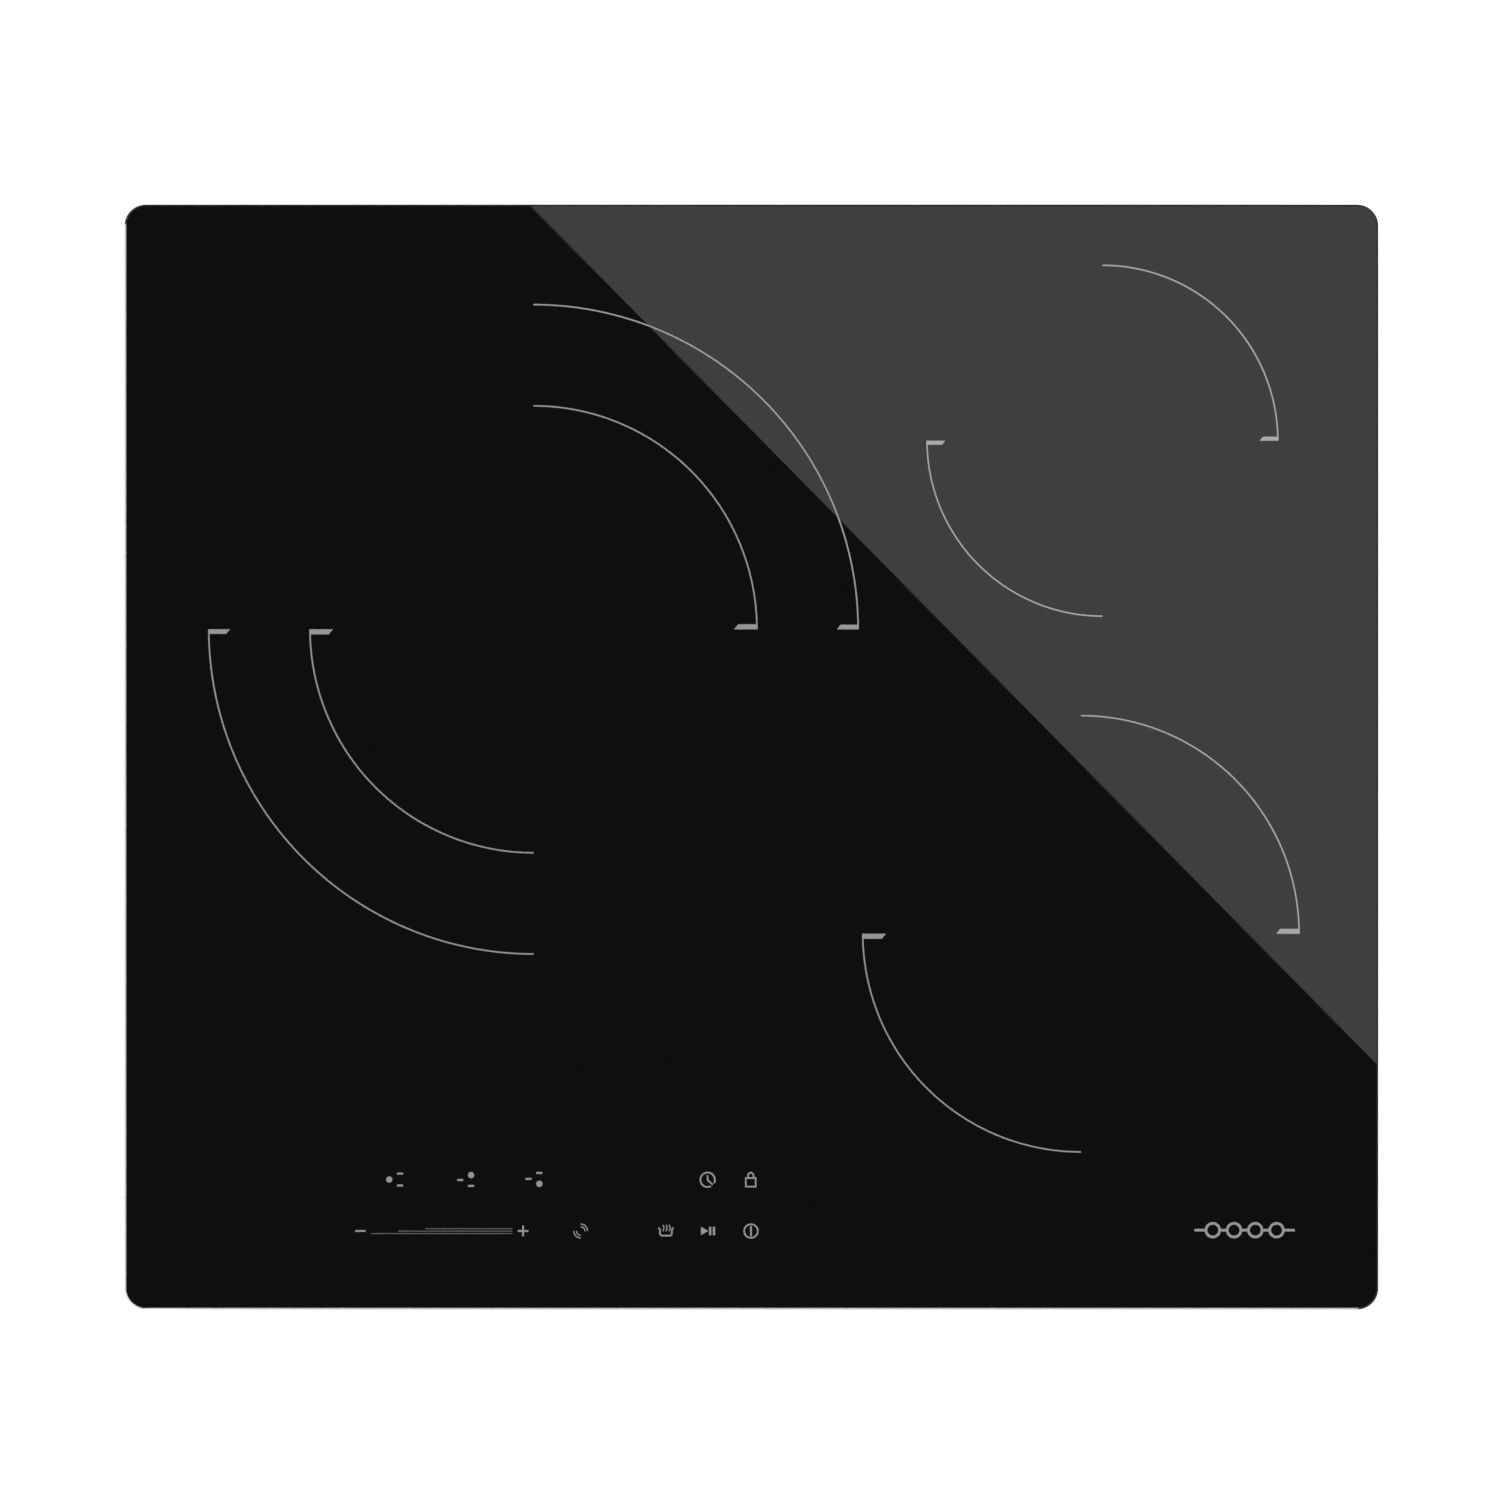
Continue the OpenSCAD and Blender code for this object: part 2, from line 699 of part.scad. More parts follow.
module mica_sheet(z) color("#c8b98f") translate([z[1][0], z[1][1], mica_z]) difference() {
    cylinder(r = z[2], h = mica_t, $fn = 96);
    translate([0, 0, -1]) cylinder(r = 14, h = mica_t + 2);
}

cap_z = glass_z - 3.4;

// Temperature sensor: a stem in the hub and a cap that presses on the glass
module sensor(z) color("#d8d8d2") translate([z[1][0], z[1][1], 0]) rotate_extrude() polygon([
    [0, former_z + 3], [sensor_r - 1, former_z + 3], [sensor_r, former_z + 4], [sensor_r, cap_z],
    [8, cap_z], [8, glass_z - 0.5], [7.5, glass_z], [0, glass_z],
]);

module sensor_spring(z) color("#b9bcc0") translate([z[1][0], z[1][1], hub_top + 0.3])
    tube(helix(6.6, cap_z - hub_top - 0.6, 3, 16), 0.3, 6);

// ---------- Controls ----------

TOUCH_KEYS = concat(
    ZONE_KEYS,
    [[timer_x, key_row_y], [lock_x, key_row_y], [dual_x, slider_y], [warm_x, slider_y]],
    [[pause_x, slider_y], [power_x, slider_y], [minus_x, slider_y], [plus_x, slider_y]],
    [for (i = [0 : 4]) [slider_x[0] + 8 + 12.6 * i, slider_y]]
);
DISPLAYS = [[-153, 15], [-120, 15], [-88, 15], [-46, 22]];

module control_outline(grow)
    translate(control_centre) square(control_size + 2 * grow * [1, 1], center = true);

module at_control_corners() for (x = [-1, 1], y = [-1, 1]) {
    inset = 5;
    corner = control_centre + [x * (control_size[0] / 2 - inset), y * (control_size[1] / 2 - inset)];
    translate(corner) children();
}

module control_board() color("#1f5a3a") difference() {
    translate([0, 0, control_z]) linear_extrude(board_t) control_outline(0);
    at_control_corners() translate([0, 0, control_z - 1]) cylinder(r = 1.6, h = 4);
}

// Plastic tray that carries the touch board on four legs
module control_holder() color("#3c3f41") {
    tray_z = control_z - 3;
    difference() {
        translate([0, 0, tray_z]) linear_extrude(6) control_outline(3);
        translate([0, 0, tray_z + 1.6]) linear_extrude(6) control_outline(1);
    }
    at_control_corners() {
        translate([0, 0, tray_z + 1.6 - EPS]) cylinder(r = 3, h = 1.4 + EPS);
        translate([0, 0, control_z - EPS]) cylinder(r = 1.4, h = 3);
    }
    for (x = [-180, -4]) {
        translate([x, -230, step_z + sheet_t]) cylinder(r = 3.5, h = tray_z - step_z - sheet_t + EPS);
        translate([x, -205, floor_z]) cylinder(r = 3.5, h = tray_z - floor_z + EPS);
    }
}

// Conductive foam pillars between the touch board and the glass
module touch_contacts() color("#5b5d5e") {
    base = control_z + board_t;
    for (k = TOUCH_KEYS) translate([k[0], k[1], base]) {
        cylinder(r = 3.6, h = 1);
        cylinder(r = 2.8, h = glass_z - base);
    }
}

module display_modules() color("#222426")
    for (d = DISPLAYS) translate([d[0] - d[1] / 2, key_row_y - 4.5, control_z + board_t])
        cube([d[1], 9, 7.5]);

// A flat cable that hangs from the touch board to the left power board
module ribbon_cable() color("#c9c9c4") {
    path = smooth([
        [-194, 46.6], [-184, 47.2], [-174, 42], [-150, 22], [-120, 13], [-90, 12.6], [-76, 12.6],
    ], 5);
    side = 0.4;
    normals = [for (i = [0 : len(path) - 1]) let (t = tangent(path, i)) [-t[1], t[0]]];
    outline = concat(
        [for (i = [0 : len(path) - 1]) path[i] + side * normals[i]],
        [for (i = [len(path) - 1 : -1 : 0]) path[i] - side * normals[i]]
    );
    translate([-60, 0, 0]) rotate([90, 0, -90]) mirror([1, 0, 0]) linear_extrude(14) polygon(outline);
    translate([-75.5, -79, board_top]) cube([17, 6, 3.2]);
    translate([-75.5, -196, control_z + board_t]) cube([17, 5, 2.2]);
}

// ---------- Power electronics ----------

module power_board(i) color("#2c6b41") difference() {
    translate([BOARDS[i][0][0], BOARDS[i][1][0], board_z])
        cube([BOARDS[i][0][1] - BOARDS[i][0][0], BOARDS[i][1][1] - BOARDS[i][1][0], board_t]);
    at_board_holes() translate([0, 0, board_z - 1]) cylinder(r = 1.7, h = board_t + 2);
}

// Finned extrusion in line with its fan, with a bare ledge for the transistors
heatsink_fins_w = 78;
heatsink_ledge = 22;
heatsink_y = [-74, 96];
heatsink_base = 4;

module heatsink(s) color("#b4b8ba") {
    fins = 12;
    fin_t = 1.6;
    pitch = (heatsink_fins_w - fin_t) / (fins - 1);
    ledge_from = -s[1] * heatsink_fins_w / 2;
    profile = concat(
        [[0, 0], [heatsink_fins_w, 0]],
        [for (i = [fins - 1 : -1 : 0]) each [
            [i * pitch + fin_t, i == fins - 1 ? 0 : heatsink_base],
            [i * pitch + fin_t, heatsink_h],
            [i * pitch, heatsink_h],
            [i * pitch, heatsink_base],
        ]]
    );
    translate([s[1] * fan_x, heatsink_y[1], board_top]) rotate([90, 0, 0])
        linear_extrude(heatsink_y[1] - heatsink_y[0]) {
            translate([-heatsink_fins_w / 2, 0]) polygon(profile);
            translate([s[1] > 0 ? ledge_from - heatsink_ledge : ledge_from, 0])
                square([heatsink_ledge, heatsink_base]);
        }
}

// Power devices screwed flat to the heatsink ledges
module power_transistors() color("#1a1b1c") {
    ledge_x = fan_x - heatsink_fins_w / 2 - heatsink_ledge / 2 - 1;
    for (s = SIDES) translate([s[1] * ledge_x, 0, board_top + heatsink_base])
        for (i = [0 : 4]) translate([-8, -66 + 32 * i, 0]) difference() {
            cube([16, 21, 5]);
            translate([8, 17, -1]) cylinder(r = 1.8, h = 7);
        }
}

module capacitors() color("#c9a227") {
    // Film capacitors beside the heatsinks
    for (y = [-60, -12, 36]) translate([-72, y, board_top]) cube([20, 40, 17]);
    for (y = [-70, -14]) translate([198, y, board_top]) cube([20, 34, 15]);
    // Upright electrolytic capacitors
    for (y = [-55, -30, 60, 85]) translate([-218, y, board_top]) cylinder(r = 9, h = 22);
}

// Common-mode choke: two wound halves on a ring core
module filter_choke() color("#8a4b22") translate([213, 92, board_top]) {
    difference() {
        cylinder(r = 17, h = 12);
        translate([0, 0, -1]) cylinder(r = 8, h = 14);
        for (a = [0, 180]) rotate(a) translate([5, -1.5, -1]) cube([15, 3, 14]);
    }
}

module relays() color("#24508c") {
    for (y = [38, 54]) translate([196, y, board_top]) cube([28, 13, 15]);
    translate([-228, 20, board_top]) cube([28, 13, 15]);
}

// ---------- Wiring ----------

// Coil leads: zone, direction from its centre, side step, end on a power board
LEADS = [
    [0, -45, -4, [-34, -70]],
    [0, -45, 4, [-34, -50]],
    [1, 225, 0, [80, 92]],
    [2, 135, 0, [78, 22]],
];
lead_r = 1.3;
lead_spread = 4;
lead_hole_r = 9;
lead_hole_out = 17;

function heading(a) = [cos(a), sin(a)];

// The unit vector square to v that points the same way as ref
function beside(v, ref) = let (n = unit([-v[1], v[0]])) n * ref < 0 ? -n : n;

// Holes in the carriers that the coil leads pass down through
LEAD_HOLES = [for (l = LEADS) if (l[2] >= 0)
    ZONES[l[0]][1] + (ZONES[l[0]][2] + lead_hole_out) * heading(l[1])];

// A pair of leads: over the coil's edge, down through the carrier and on to a power board
module lead_pair(l) {
    centre = ZONES[l[0]][1];
    out = heading(l[1]);
    edge = ZONES[l[0]][2];
    for (s = [-0.5, 0.5]) {
        step = (l[2] + s * lead_spread) * heading(l[1] + 90);
        start = centre + (edge - 2) * out + step;
        hole = centre + (edge + lead_hole_out) * out + step;
        finish = l[3] + s * lead_spread * beside(l[3] - hole, heading(l[1] + 90));
        tube(smooth([
            [start[0], start[1], litz_z + 3],
            [start[0] + 7 * out[0], start[1] + 7 * out[1], litz_z + 3],
            [hole[0], hole[1], carrier_z + 3],
            [hole[0], hole[1], carrier_z - 7],
            [0.3 * hole[0] + 0.7 * finish[0], 0.3 * hole[1] + 0.7 * finish[1], board_top + 5],
            [finish[0], finish[1], board_top + lead_r + 0.2],
        ], 3), lead_r);
    }
}

module wiring() color("#b03a2e") {
    for (l = LEADS) lead_pair(l);
    // Mains conductors from the terminals to the right power board
    for (i = [-1 : 1]) tube(smooth([
        [term_x + 8 * i, 177, cable_z], [term_x + 8 * i, 150, cable_z], [term_x + 8 * i, 132, cable_z + 6],
        [term_x + 8 * i, 116, cable_z + 3], [term_x + 8 * i, 110, board_top + lead_r + 0.2],
    ], 3), lead_r);
    // Fan leads
    for (s = SIDES) tube(smooth([
        [s[1] * 128, -100, floor_z + fan_h + 1.2], [s[1] * 120, -88, floor_z + fan_h + 1.4],
        [s[1] * 110, -83, 21], [s[1] * 98, -81, 16], [s[1] * 86, -76, 12], [s[1] * 84, -68, board_top + 1.2],
    ], 3), 1);
}

// ---------- Fans ----------

// Scroll casing: a drum with a square outlet to the rear, open to the grille below
module fan_housing(s) color("#2b2d2f") translate([s[1] * fan_x, fan_y, floor_z]) {
    inner_r = fan_r - fan_wall;
    difference() {
        linear_extrude(fan_h) fan_outline(fan_r);
        translate([0, 0, fan_wall]) linear_extrude(fan_h - 2 * fan_wall) {
            fan_outline(inner_r);
            translate([-inner_r, 0]) square([2 * inner_r, fan_r + 5]);
        }
        translate([0, 0, -1]) cylinder(r = inlet_r, h = fan_wall + 2);
    }
    // Stator boss with the shaft's bearing
    difference() {
        translate([0, 0, boss_z]) cylinder(r = boss_r, h = fan_h - fan_wall - boss_z + EPS);
        translate([0, 0, boss_z - 1]) cylinder(r = shaft_r + shaft_play, h = shaft_top - boss_z + 2);
    }
}

module fan_outline(r) {
    circle(r, $fn = 96);
    translate([-r, 0]) square([2 * r, fan_r + 1]);
}

inlet_r = 33;
boss_r = 10;
boss_z = 8;
shaft_r = 1.5;
shaft_play = 0.05;
shaft_top = 17;
rotor_r = 43;
back_z = 16.5;
back_t = 1.5;
cup_r = 15;
cup_inner_r = 12.5;
ring_z = 3;
ring_inner_r = 39;
blade_count = 30;
blade_at = 38;
blade_size = [9, 1, 13.5];
blade_pitch = 35;

// Centrifugal rotor: a cup over the stator, a back disc, blades and a tie ring
module fan_rotor(s) color("#3b3e40") translate([s[1] * fan_x, fan_y, floor_z]) {
    rotate_extrude() polygon([
        [0, 4], [cup_r - 2, 4], [cup_r, 6], [cup_r, back_z], [rotor_r, back_z], [rotor_r, back_z + back_t],
        [cup_inner_r, back_z + back_t], [cup_inner_r, 6], [shaft_r, 6], [shaft_r, shaft_top], [0, shaft_top],
    ]);
    for (i = [0 : blade_count - 1]) rotate(360 * i / blade_count) translate([blade_at, 0, ring_z + 0.5])
        rotate(blade_pitch) translate([-blade_size[0] / 2, -blade_size[1] / 2, 0]) cube(blade_size);
    translate([0, 0, ring_z]) difference() {
        cylinder(r = rotor_r, h = 1.5);
        translate([0, 0, -1]) cylinder(r = ring_inner_r, h = 4);
    }
}

// ---------- Nodes ----------

glass_panel();
glass_print();
rim_gasket();
glass_bond();
bottom_case();
rivet_nuts();
case_screws();
for (c = CORNERS) {
    clamp_screw(c);
    clamp_bracket(c);
}
terminal_housing();
terminal_block();
terminal_cover();
cable_gland();
cable_clamp();
for (c = CARRIERS) coil_carrier(c);
carrier_posts();
for (w = WINDINGS) winding(w);
for (z = ZONES) {
    coil_former(z);
    ferrite_bars(z);
    mica_sheet(z);
    sensor(z);
    sensor_spring(z);
}
control_board();
control_holder();
touch_contacts();
display_modules();
ribbon_cable();
for (i = [0, 1]) {
    power_board(i);
    heatsink(SIDES[i]);
    fan_housing(SIDES[i]);
    fan_rotor(SIDES[i]);
}
power_transistors();
capacitors();
filter_choke();
relays();
wiring();
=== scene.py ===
import json
import math

import bmesh
import bpy
from mathutils import Matrix, Vector


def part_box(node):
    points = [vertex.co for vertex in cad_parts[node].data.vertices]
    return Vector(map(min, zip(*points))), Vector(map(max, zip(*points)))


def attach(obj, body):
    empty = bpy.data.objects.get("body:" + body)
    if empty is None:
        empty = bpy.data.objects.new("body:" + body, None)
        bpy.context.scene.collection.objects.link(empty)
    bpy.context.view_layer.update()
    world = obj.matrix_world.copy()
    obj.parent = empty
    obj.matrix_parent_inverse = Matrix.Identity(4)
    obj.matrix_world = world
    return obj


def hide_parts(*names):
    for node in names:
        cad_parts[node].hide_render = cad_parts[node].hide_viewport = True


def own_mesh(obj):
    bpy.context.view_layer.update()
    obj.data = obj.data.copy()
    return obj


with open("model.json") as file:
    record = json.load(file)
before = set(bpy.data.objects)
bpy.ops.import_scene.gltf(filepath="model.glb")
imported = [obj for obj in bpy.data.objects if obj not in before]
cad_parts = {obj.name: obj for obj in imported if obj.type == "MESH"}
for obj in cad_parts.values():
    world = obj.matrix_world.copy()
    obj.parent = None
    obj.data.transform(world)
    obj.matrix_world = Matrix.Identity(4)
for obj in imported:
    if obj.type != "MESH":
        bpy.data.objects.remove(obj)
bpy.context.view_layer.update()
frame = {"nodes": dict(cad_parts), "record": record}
nodes = frame["nodes"]

MM = 0.001
GLASS_LOW, GLASS_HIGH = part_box("glass_panel")
GLASS_TOP = GLASS_HIGH.z
GLASS_W = GLASS_HIGH.x - GLASS_LOW.x
GLASS_D = GLASS_HIGH.y - GLASS_LOW.y


# ---------- Camera, lights and floor ----------

LENS = 100.0
SENSOR = 36.0
FRAME_W = 0.7055
CAMERA_H = FRAME_W * LENS / SENSOR
CAMERA_X = -0.66 * MM
CAMERA_Y = 3.57 * MM
CLIP_END = 100


def link(obj):
    """Puts an object in the scene."""
    bpy.context.scene.collection.objects.link(obj)
    return obj


def make_camera():
    """A long lens straight above the glass."""
    data = bpy.data.cameras.new("camera")
    data.lens = LENS
    data.sensor_width = SENSOR
    data.clip_end = CLIP_END
    camera = link(bpy.data.objects.new("camera", data))
    camera.location = (CAMERA_X, CAMERA_Y, GLASS_TOP + CAMERA_H)
    bpy.context.scene.camera = camera


def area_light(name, place, target, width, height, radiance, tint=(1, 1, 1), turn=0.0):
    """A softbox of a given radiance, so that its power follows from its size."""
    data = bpy.data.lights.new(name, "AREA")
    data.shape = "RECTANGLE"
    data.size = width
    data.size_y = height
    data.energy = radiance * math.pi * width * height
    data.color = tint
    light = link(bpy.data.objects.new(name, data))
    light.location = place
    aim = (Vector(target) - Vector(place)).normalized()
    light.rotation_mode = "QUATERNION"
    light.rotation_quaternion = aim.to_track_quat("-Z", "Y")
    if turn:
        spin = Matrix.Rotation(turn, 3, "Z").to_quaternion()
        light.rotation_quaternion = spin @ light.rotation_quaternion
    light.visible_camera = False
    return light


# The reflection's edge runs from this x on the rear edge of the glass to this y on its right edge
REFLECTION_X = -104.6 * MM
REFLECTION_Y = -145.3 * MM
CARD_H = 2.6
CARD_LENGTH = 2.6
CARD_DEPTH = 1.2
CARD_RADIANCE = 1.09
CARD_TINT = (0.95, 1.0, 0.975)


def make_mirror_card():
    """The white card above the camera that the glass reflects over its far right half."""
    spread = 1 + CARD_H / CAMERA_H
    axis = Vector((CAMERA_X, CAMERA_Y))
    edge_a = axis + (Vector((REFLECTION_X, GLASS_HIGH.y)) - axis) * spread
    edge_b = axis + (Vector((GLASS_HIGH.x, REFLECTION_Y)) - axis) * spread
    along = (edge_b - edge_a).normalized()
    beyond = Vector((-along.y, along.x))
    middle = (edge_a + edge_b) / 2 + beyond * CARD_DEPTH / 2
    place = Vector((middle.x, middle.y, GLASS_TOP + CARD_H))
    below = place - Vector((0, 0, 1))
    turn = math.atan2(along.y, along.x)
    area_light("mirror_card", place, below, CARD_LENGTH, CARD_DEPTH, CARD_RADIANCE, CARD_TINT, turn)


SOFTBOX_SIDE = 1.4
SOFTBOX_RADIANCE = 6.4
STRIP_RADIANCE = 10.3
CORNER_RADIANCE = 11.5


def make_lights():
    """Two softboxes, the card, and low strips that the bevel shows as a line on its left and front sides."""
    glass = (0, 0, GLASS_TOP)
    for name, place in (("softbox_left", (-1.9, 0.7, 2.1)), ("softbox_right", (1.8, -1.1, 2.1))):
        area_light(name, place, glass, SOFTBOX_SIDE, SOFTBOX_SIDE, SOFTBOX_RADIANCE)
    area_light("strip_left", (-2.3, 0, 0.29), glass, 1.24, 0.3, STRIP_RADIANCE)
    area_light("strip_front", (0, -2.3, 0.31), glass, 1.34, 0.29, STRIP_RADIANCE)
    area_light("strip_corner", (-1.65, -1.65, 0.23), glass, 2.8, 0.32, CORNER_RADIANCE)
    make_mirror_card()


def make_world():
    """White for the camera. Otherwise a pale horizon under a dark ceiling, with dark screens behind and to
    the right that show only in polished surfaces, low enough for the bevels of those two sides."""
    world = bpy.data.worlds.new("studio")
    bpy.context.scene.world = world
    world.use_nodes = True
    tree = world.node_tree
    tree.nodes.clear()

    def ramp(value, low, high, at_low, at_high):
        made = tree.nodes.new("ShaderNodeMapRange")
        made.interpolation_type = "SMOOTHSTEP"
        limits = {"From Min": low, "From Max": high, "To Min": at_low, "To Max": at_high}
        for name, limit in limits.items():
            made.inputs[name].default_value = limit
        tree.links.new(value, made.inputs["Value"])
        return made.outputs["Result"]

    def combined(operation, a, b):
        made = tree.nodes.new("ShaderNodeMath")
        made.operation = operation
        tree.links.new(a, made.inputs[0])
        tree.links.new(b, made.inputs[1])
        return made.outputs[0]

    coords = tree.nodes.new("ShaderNodeTexCoord")
    split = tree.nodes.new("ShaderNodeSeparateXYZ")
    path = tree.nodes.new("ShaderNodeLightPath")
    room = tree.nodes.new("ShaderNodeBackground")
    backdrop = tree.nodes.new("ShaderNodeBackground")
    backdrop.inputs["Strength"].default_value = 1.0
    backdrop.inputs["Color"].default_value = (1, 1, 1, 1)
    mix = tree.nodes.new("ShaderNodeMixShader")
    out = tree.nodes.new("ShaderNodeOutputWorld")
    tree.links.new(coords.outputs["Generated"], split.inputs[0])
    height = split.outputs["Z"]
    side = ramp(combined("ADD", split.outputs["X"], split.outputs["Y"]), -0.2, 0.7, 0, 1)
    screen = combined("MULTIPLY", side, ramp(height, 0.08, 0.18, 0, 1))
    screen = combined("MULTIPLY", screen, path.outputs["Is Glossy Ray"])
    strength = combined("MULTIPLY", ramp(height, 0.05, 0.8, 0.9, 0), ramp(screen, 0, 1, 1, 0.08))
    tree.links.new(strength, room.inputs["Strength"])
    tree.links.new(path.outputs["Is Camera Ray"], mix.inputs["Fac"])
    tree.links.new(room.outputs[0], mix.inputs[1])
    tree.links.new(backdrop.outputs[0], mix.inputs[2])
    tree.links.new(mix.outputs[0], out.inputs["Surface"])


FLOOR_R = 4.0


def make_floor():
    """A pale round floor that glows more towards its rim, to meet the white room without an edge."""
    bm = bmesh.new()
    bmesh.ops.create_circle(bm, cap_ends=True, segments=96, radius=FLOOR_R)
    mesh = bpy.data.meshes.new("floor")
    bm.to_mesh(mesh)
    bm.free()
    floor = link(bpy.data.objects.new("floor", mesh))
    s = Surface("floor", (0.82, 0.82, 0.82), 0.9)
    away = s.tree.nodes.new("ShaderNodeVectorMath")
    away.operation = "LENGTH"
    s.tree.links.new(s.place, away.inputs[0])
    s.set("Emission Color", (1, 1, 1, 1))
    s.drive("Emission Strength", s.remap(away.outputs["Value"], 0.8, 2.6, 0.6, 1.1))
    mesh.materials.append(s.mat)


# ---------- Materials ----------


class Surface:
    """A Principled material with short calls for the textures that drive it."""

    def __init__(self, name, color, roughness, metallic=0.0, ior=1.5, coat=0.0, coat_roughness=0.1):
        self.mat = bpy.data.materials.new(name)
        self.mat.use_nodes = True
        self.tree = self.mat.node_tree
        self.shader = self.tree.nodes["Principled BSDF"]
        self.color = color
        self.roughness = roughness
        self.set("Base Color", (*color, 1))
        self.set("Roughness", roughness)
        self.set("Metallic", metallic)
        self.set("IOR", ior)
        self.set("Coat Weight", coat)
        self.set("Coat Roughness", coat_roughness)
        coords = self.tree.nodes.new("ShaderNodeTexCoord")
        self.place = coords.outputs["Object"]
        self.last_bump = None

    def set(self, socket, value):
        """Gives a socket of the shader a fixed value."""
        self.shader.inputs[socket].default_value = value

    def node(self, kind, **inputs):
        """A node with its inputs linked or set; an underscore in a keyword stands for a space."""
        made = self.tree.nodes.new(kind)
        for key, value in inputs.items():
            name = key.replace("_", " ")
            if isinstance(value, bpy.types.NodeSocket):
                self.tree.links.new(value, made.inputs[name])
            else:
                made.inputs[name].default_value = value
        return made

    def stretched(self, scale):
        """Object coordinates, in metres, scaled along each axis."""
        mapping = self.tree.nodes.new("ShaderNodeMapping")
        self.tree.links.new(self.place, mapping.inputs["Vector"])
        mapping.inputs["Scale"].default_value = scale
        return mapping.outputs["Vector"]

    def noise(self, scale, detail=2.0, stretch=(1, 1, 1), roughness=0.5):
        """Soft noise, with scale in waves per metre."""
        place = self.stretched(stretch)
        look = {"Scale": scale, "Detail": detail, "Roughness": roughness}
        return self.node("ShaderNodeTexNoise", Vector=place, **look).outputs["Fac"]

    def cells(self, scale, output="Distance", stretch=(1, 1, 1), randomness=1.0):
        """Round cells, with scale in cells per metre."""
        place = self.stretched(stretch)
        made = self.node("ShaderNodeTexVoronoi", Vector=place, Scale=scale, Randomness=randomness)
        return made.outputs[output]

    def remap(self, value, low, high, out_low=0.0, out_high=1.0):
        """Stretches the range from low to high over the one from out_low to out_high, and clamps."""
        limits = {"From Min": low, "From Max": high, "To Min": out_low, "To Max": out_high}
        made = self.node("ShaderNodeMapRange", Value=value)
        for name, limit in limits.items():
            made.inputs[name].default_value = limit
        return made.outputs["Result"]

    def blend(self, factor, first, second):
        """A colour that goes from first to second with factor."""
        made = self.tree.nodes.new("ShaderNodeMix")
        made.data_type = "RGBA"
        self.tree.links.new(factor, made.inputs["Factor"])
        for socket, value in ((6, first), (7, second)):
            if isinstance(value, bpy.types.NodeSocket):
                self.tree.links.new(value, made.inputs[socket])
            else:
                made.inputs[socket].default_value = (*value, 1)
        return made.outputs[2]

    def drive(self, socket, value):
        """Lets a texture set a socket of the shader."""
        self.tree.links.new(value, self.shader.inputs[socket])
        return self

    def bump(self, height, distance, strength=1.0):
        """Adds a bump of that depth in metres on top of any earlier one."""
        made = self.node("ShaderNodeBump", Height=height, Distance=distance, Strength=strength)
        if self.last_bump:
            self.tree.links.new(self.last_bump, made.inputs["Normal"])
        self.last_bump = made.outputs["Normal"]
        self.tree.links.new(self.last_bump, self.shader.inputs["Normal"])
        return self

    def vary(self, factor, amount, rough=0.0):
        """Colour, and if asked roughness, that drifts a little either side of its value."""
        dark = [c * (1 - amount) for c in self.color]
        light = [min(1.0, c * (1 + amount)) for c in self.color]
        self.drive("Base Color", self.blend(factor, dark, light))
        if rough:
            low = max(0.0, self.roughness - rough)
            self.drive("Roughness", self.remap(factor, 0, 1, low, self.roughness + rough))
        return self


def black_glass():
    """Polished glass-ceramic: near black, with the faintest wipe marks in its gloss."""
    s = Surface("black_glass", (0.0047, 0.0056, 0.0052), 0.008, ior=1.52)
    wipes = s.noise(9, 4, (1, 3, 1))
    s.drive("Roughness", s.remap(wipes, 0.35, 0.75, 0.0, 0.016))
    return s.mat


def ground_edge():
    """The ground and polished bevel of the glass."""
    s = Surface("ground_edge", (0.012, 0.014, 0.013), 0.1, ior=1.52)
    grind = s.noise(900, 2)
    s.drive("Roughness", s.remap(grind, 0.3, 0.7, 0.08, 0.12))
    s.bump(grind, 0.000004)
    return s.mat


def printed_enamel():
    """Fired enamel: glossy light grey, screened with fine grains."""
    s = Surface("printed_enamel", (0.335, 0.352, 0.346), 0.12, ior=2.0)
    grains = s.noise(2600, 1)
    s.vary(grains, 0.05)
    s.bump(grains, 0.000002)
    return s.mat


def faint_enamel():
    """The slider's lines, printed thinner so that they stay dim."""
    s = Surface("faint_enamel", (0.125, 0.132, 0.130), 0.12, ior=1.7)
    grains = s.noise(2600, 1)
    s.vary(grains, 0.05)
    return s.mat


def foam_seal():
    """Black foam with open pores."""
    s = Surface("foam_seal", (0.022, 0.022, 0.022), 0.95, ior=1.4)
    pores = s.cells(2200)
    s.vary(pores, 0.35)
    s.bump(pores, 0.00012)
    s.bump(s.noise(160, 3), 0.00008)
    return s.mat


def silicone():
    """The grey bead that bonds the glass."""
    s = Surface("silicone", (0.21, 0.22, 0.22), 0.45)
    s.vary(s.noise(60, 3), 0.08)
    s.bump(s.noise(220, 2, (1, 1, 3)), 0.00012)
    return s.mat


def zinc_sheet():
    """Hot-dip zinc: pale spangles, fine rolling lines and a few scuffs."""
    s = Surface("zinc_sheet", (0.31, 0.32, 0.33), 0.36, metallic=0.95)
    spangle = s.cells(210, output="Color")
    split = s.node("ShaderNodeSeparateColor", Color=spangle)
    s.vary(split.outputs[0], 0.07, 0.05)
    lines = s.noise(1500, 2, (0.03, 1, 1))
    s.bump(lines, 0.000012)
    s.bump(s.noise(24, 4), 0.00016, 0.6)
    return s.mat


def plated(name, color, roughness):
    """Small plated steel parts: faint stamping marks and uneven gloss."""
    s = Surface(name, color, roughness, metallic=1.0)
    s.vary(s.noise(260, 4), 0.12, 0.08)
    s.bump(s.noise(1800, 2, (1, 0.2, 1)), 0.000010)
    return s.mat


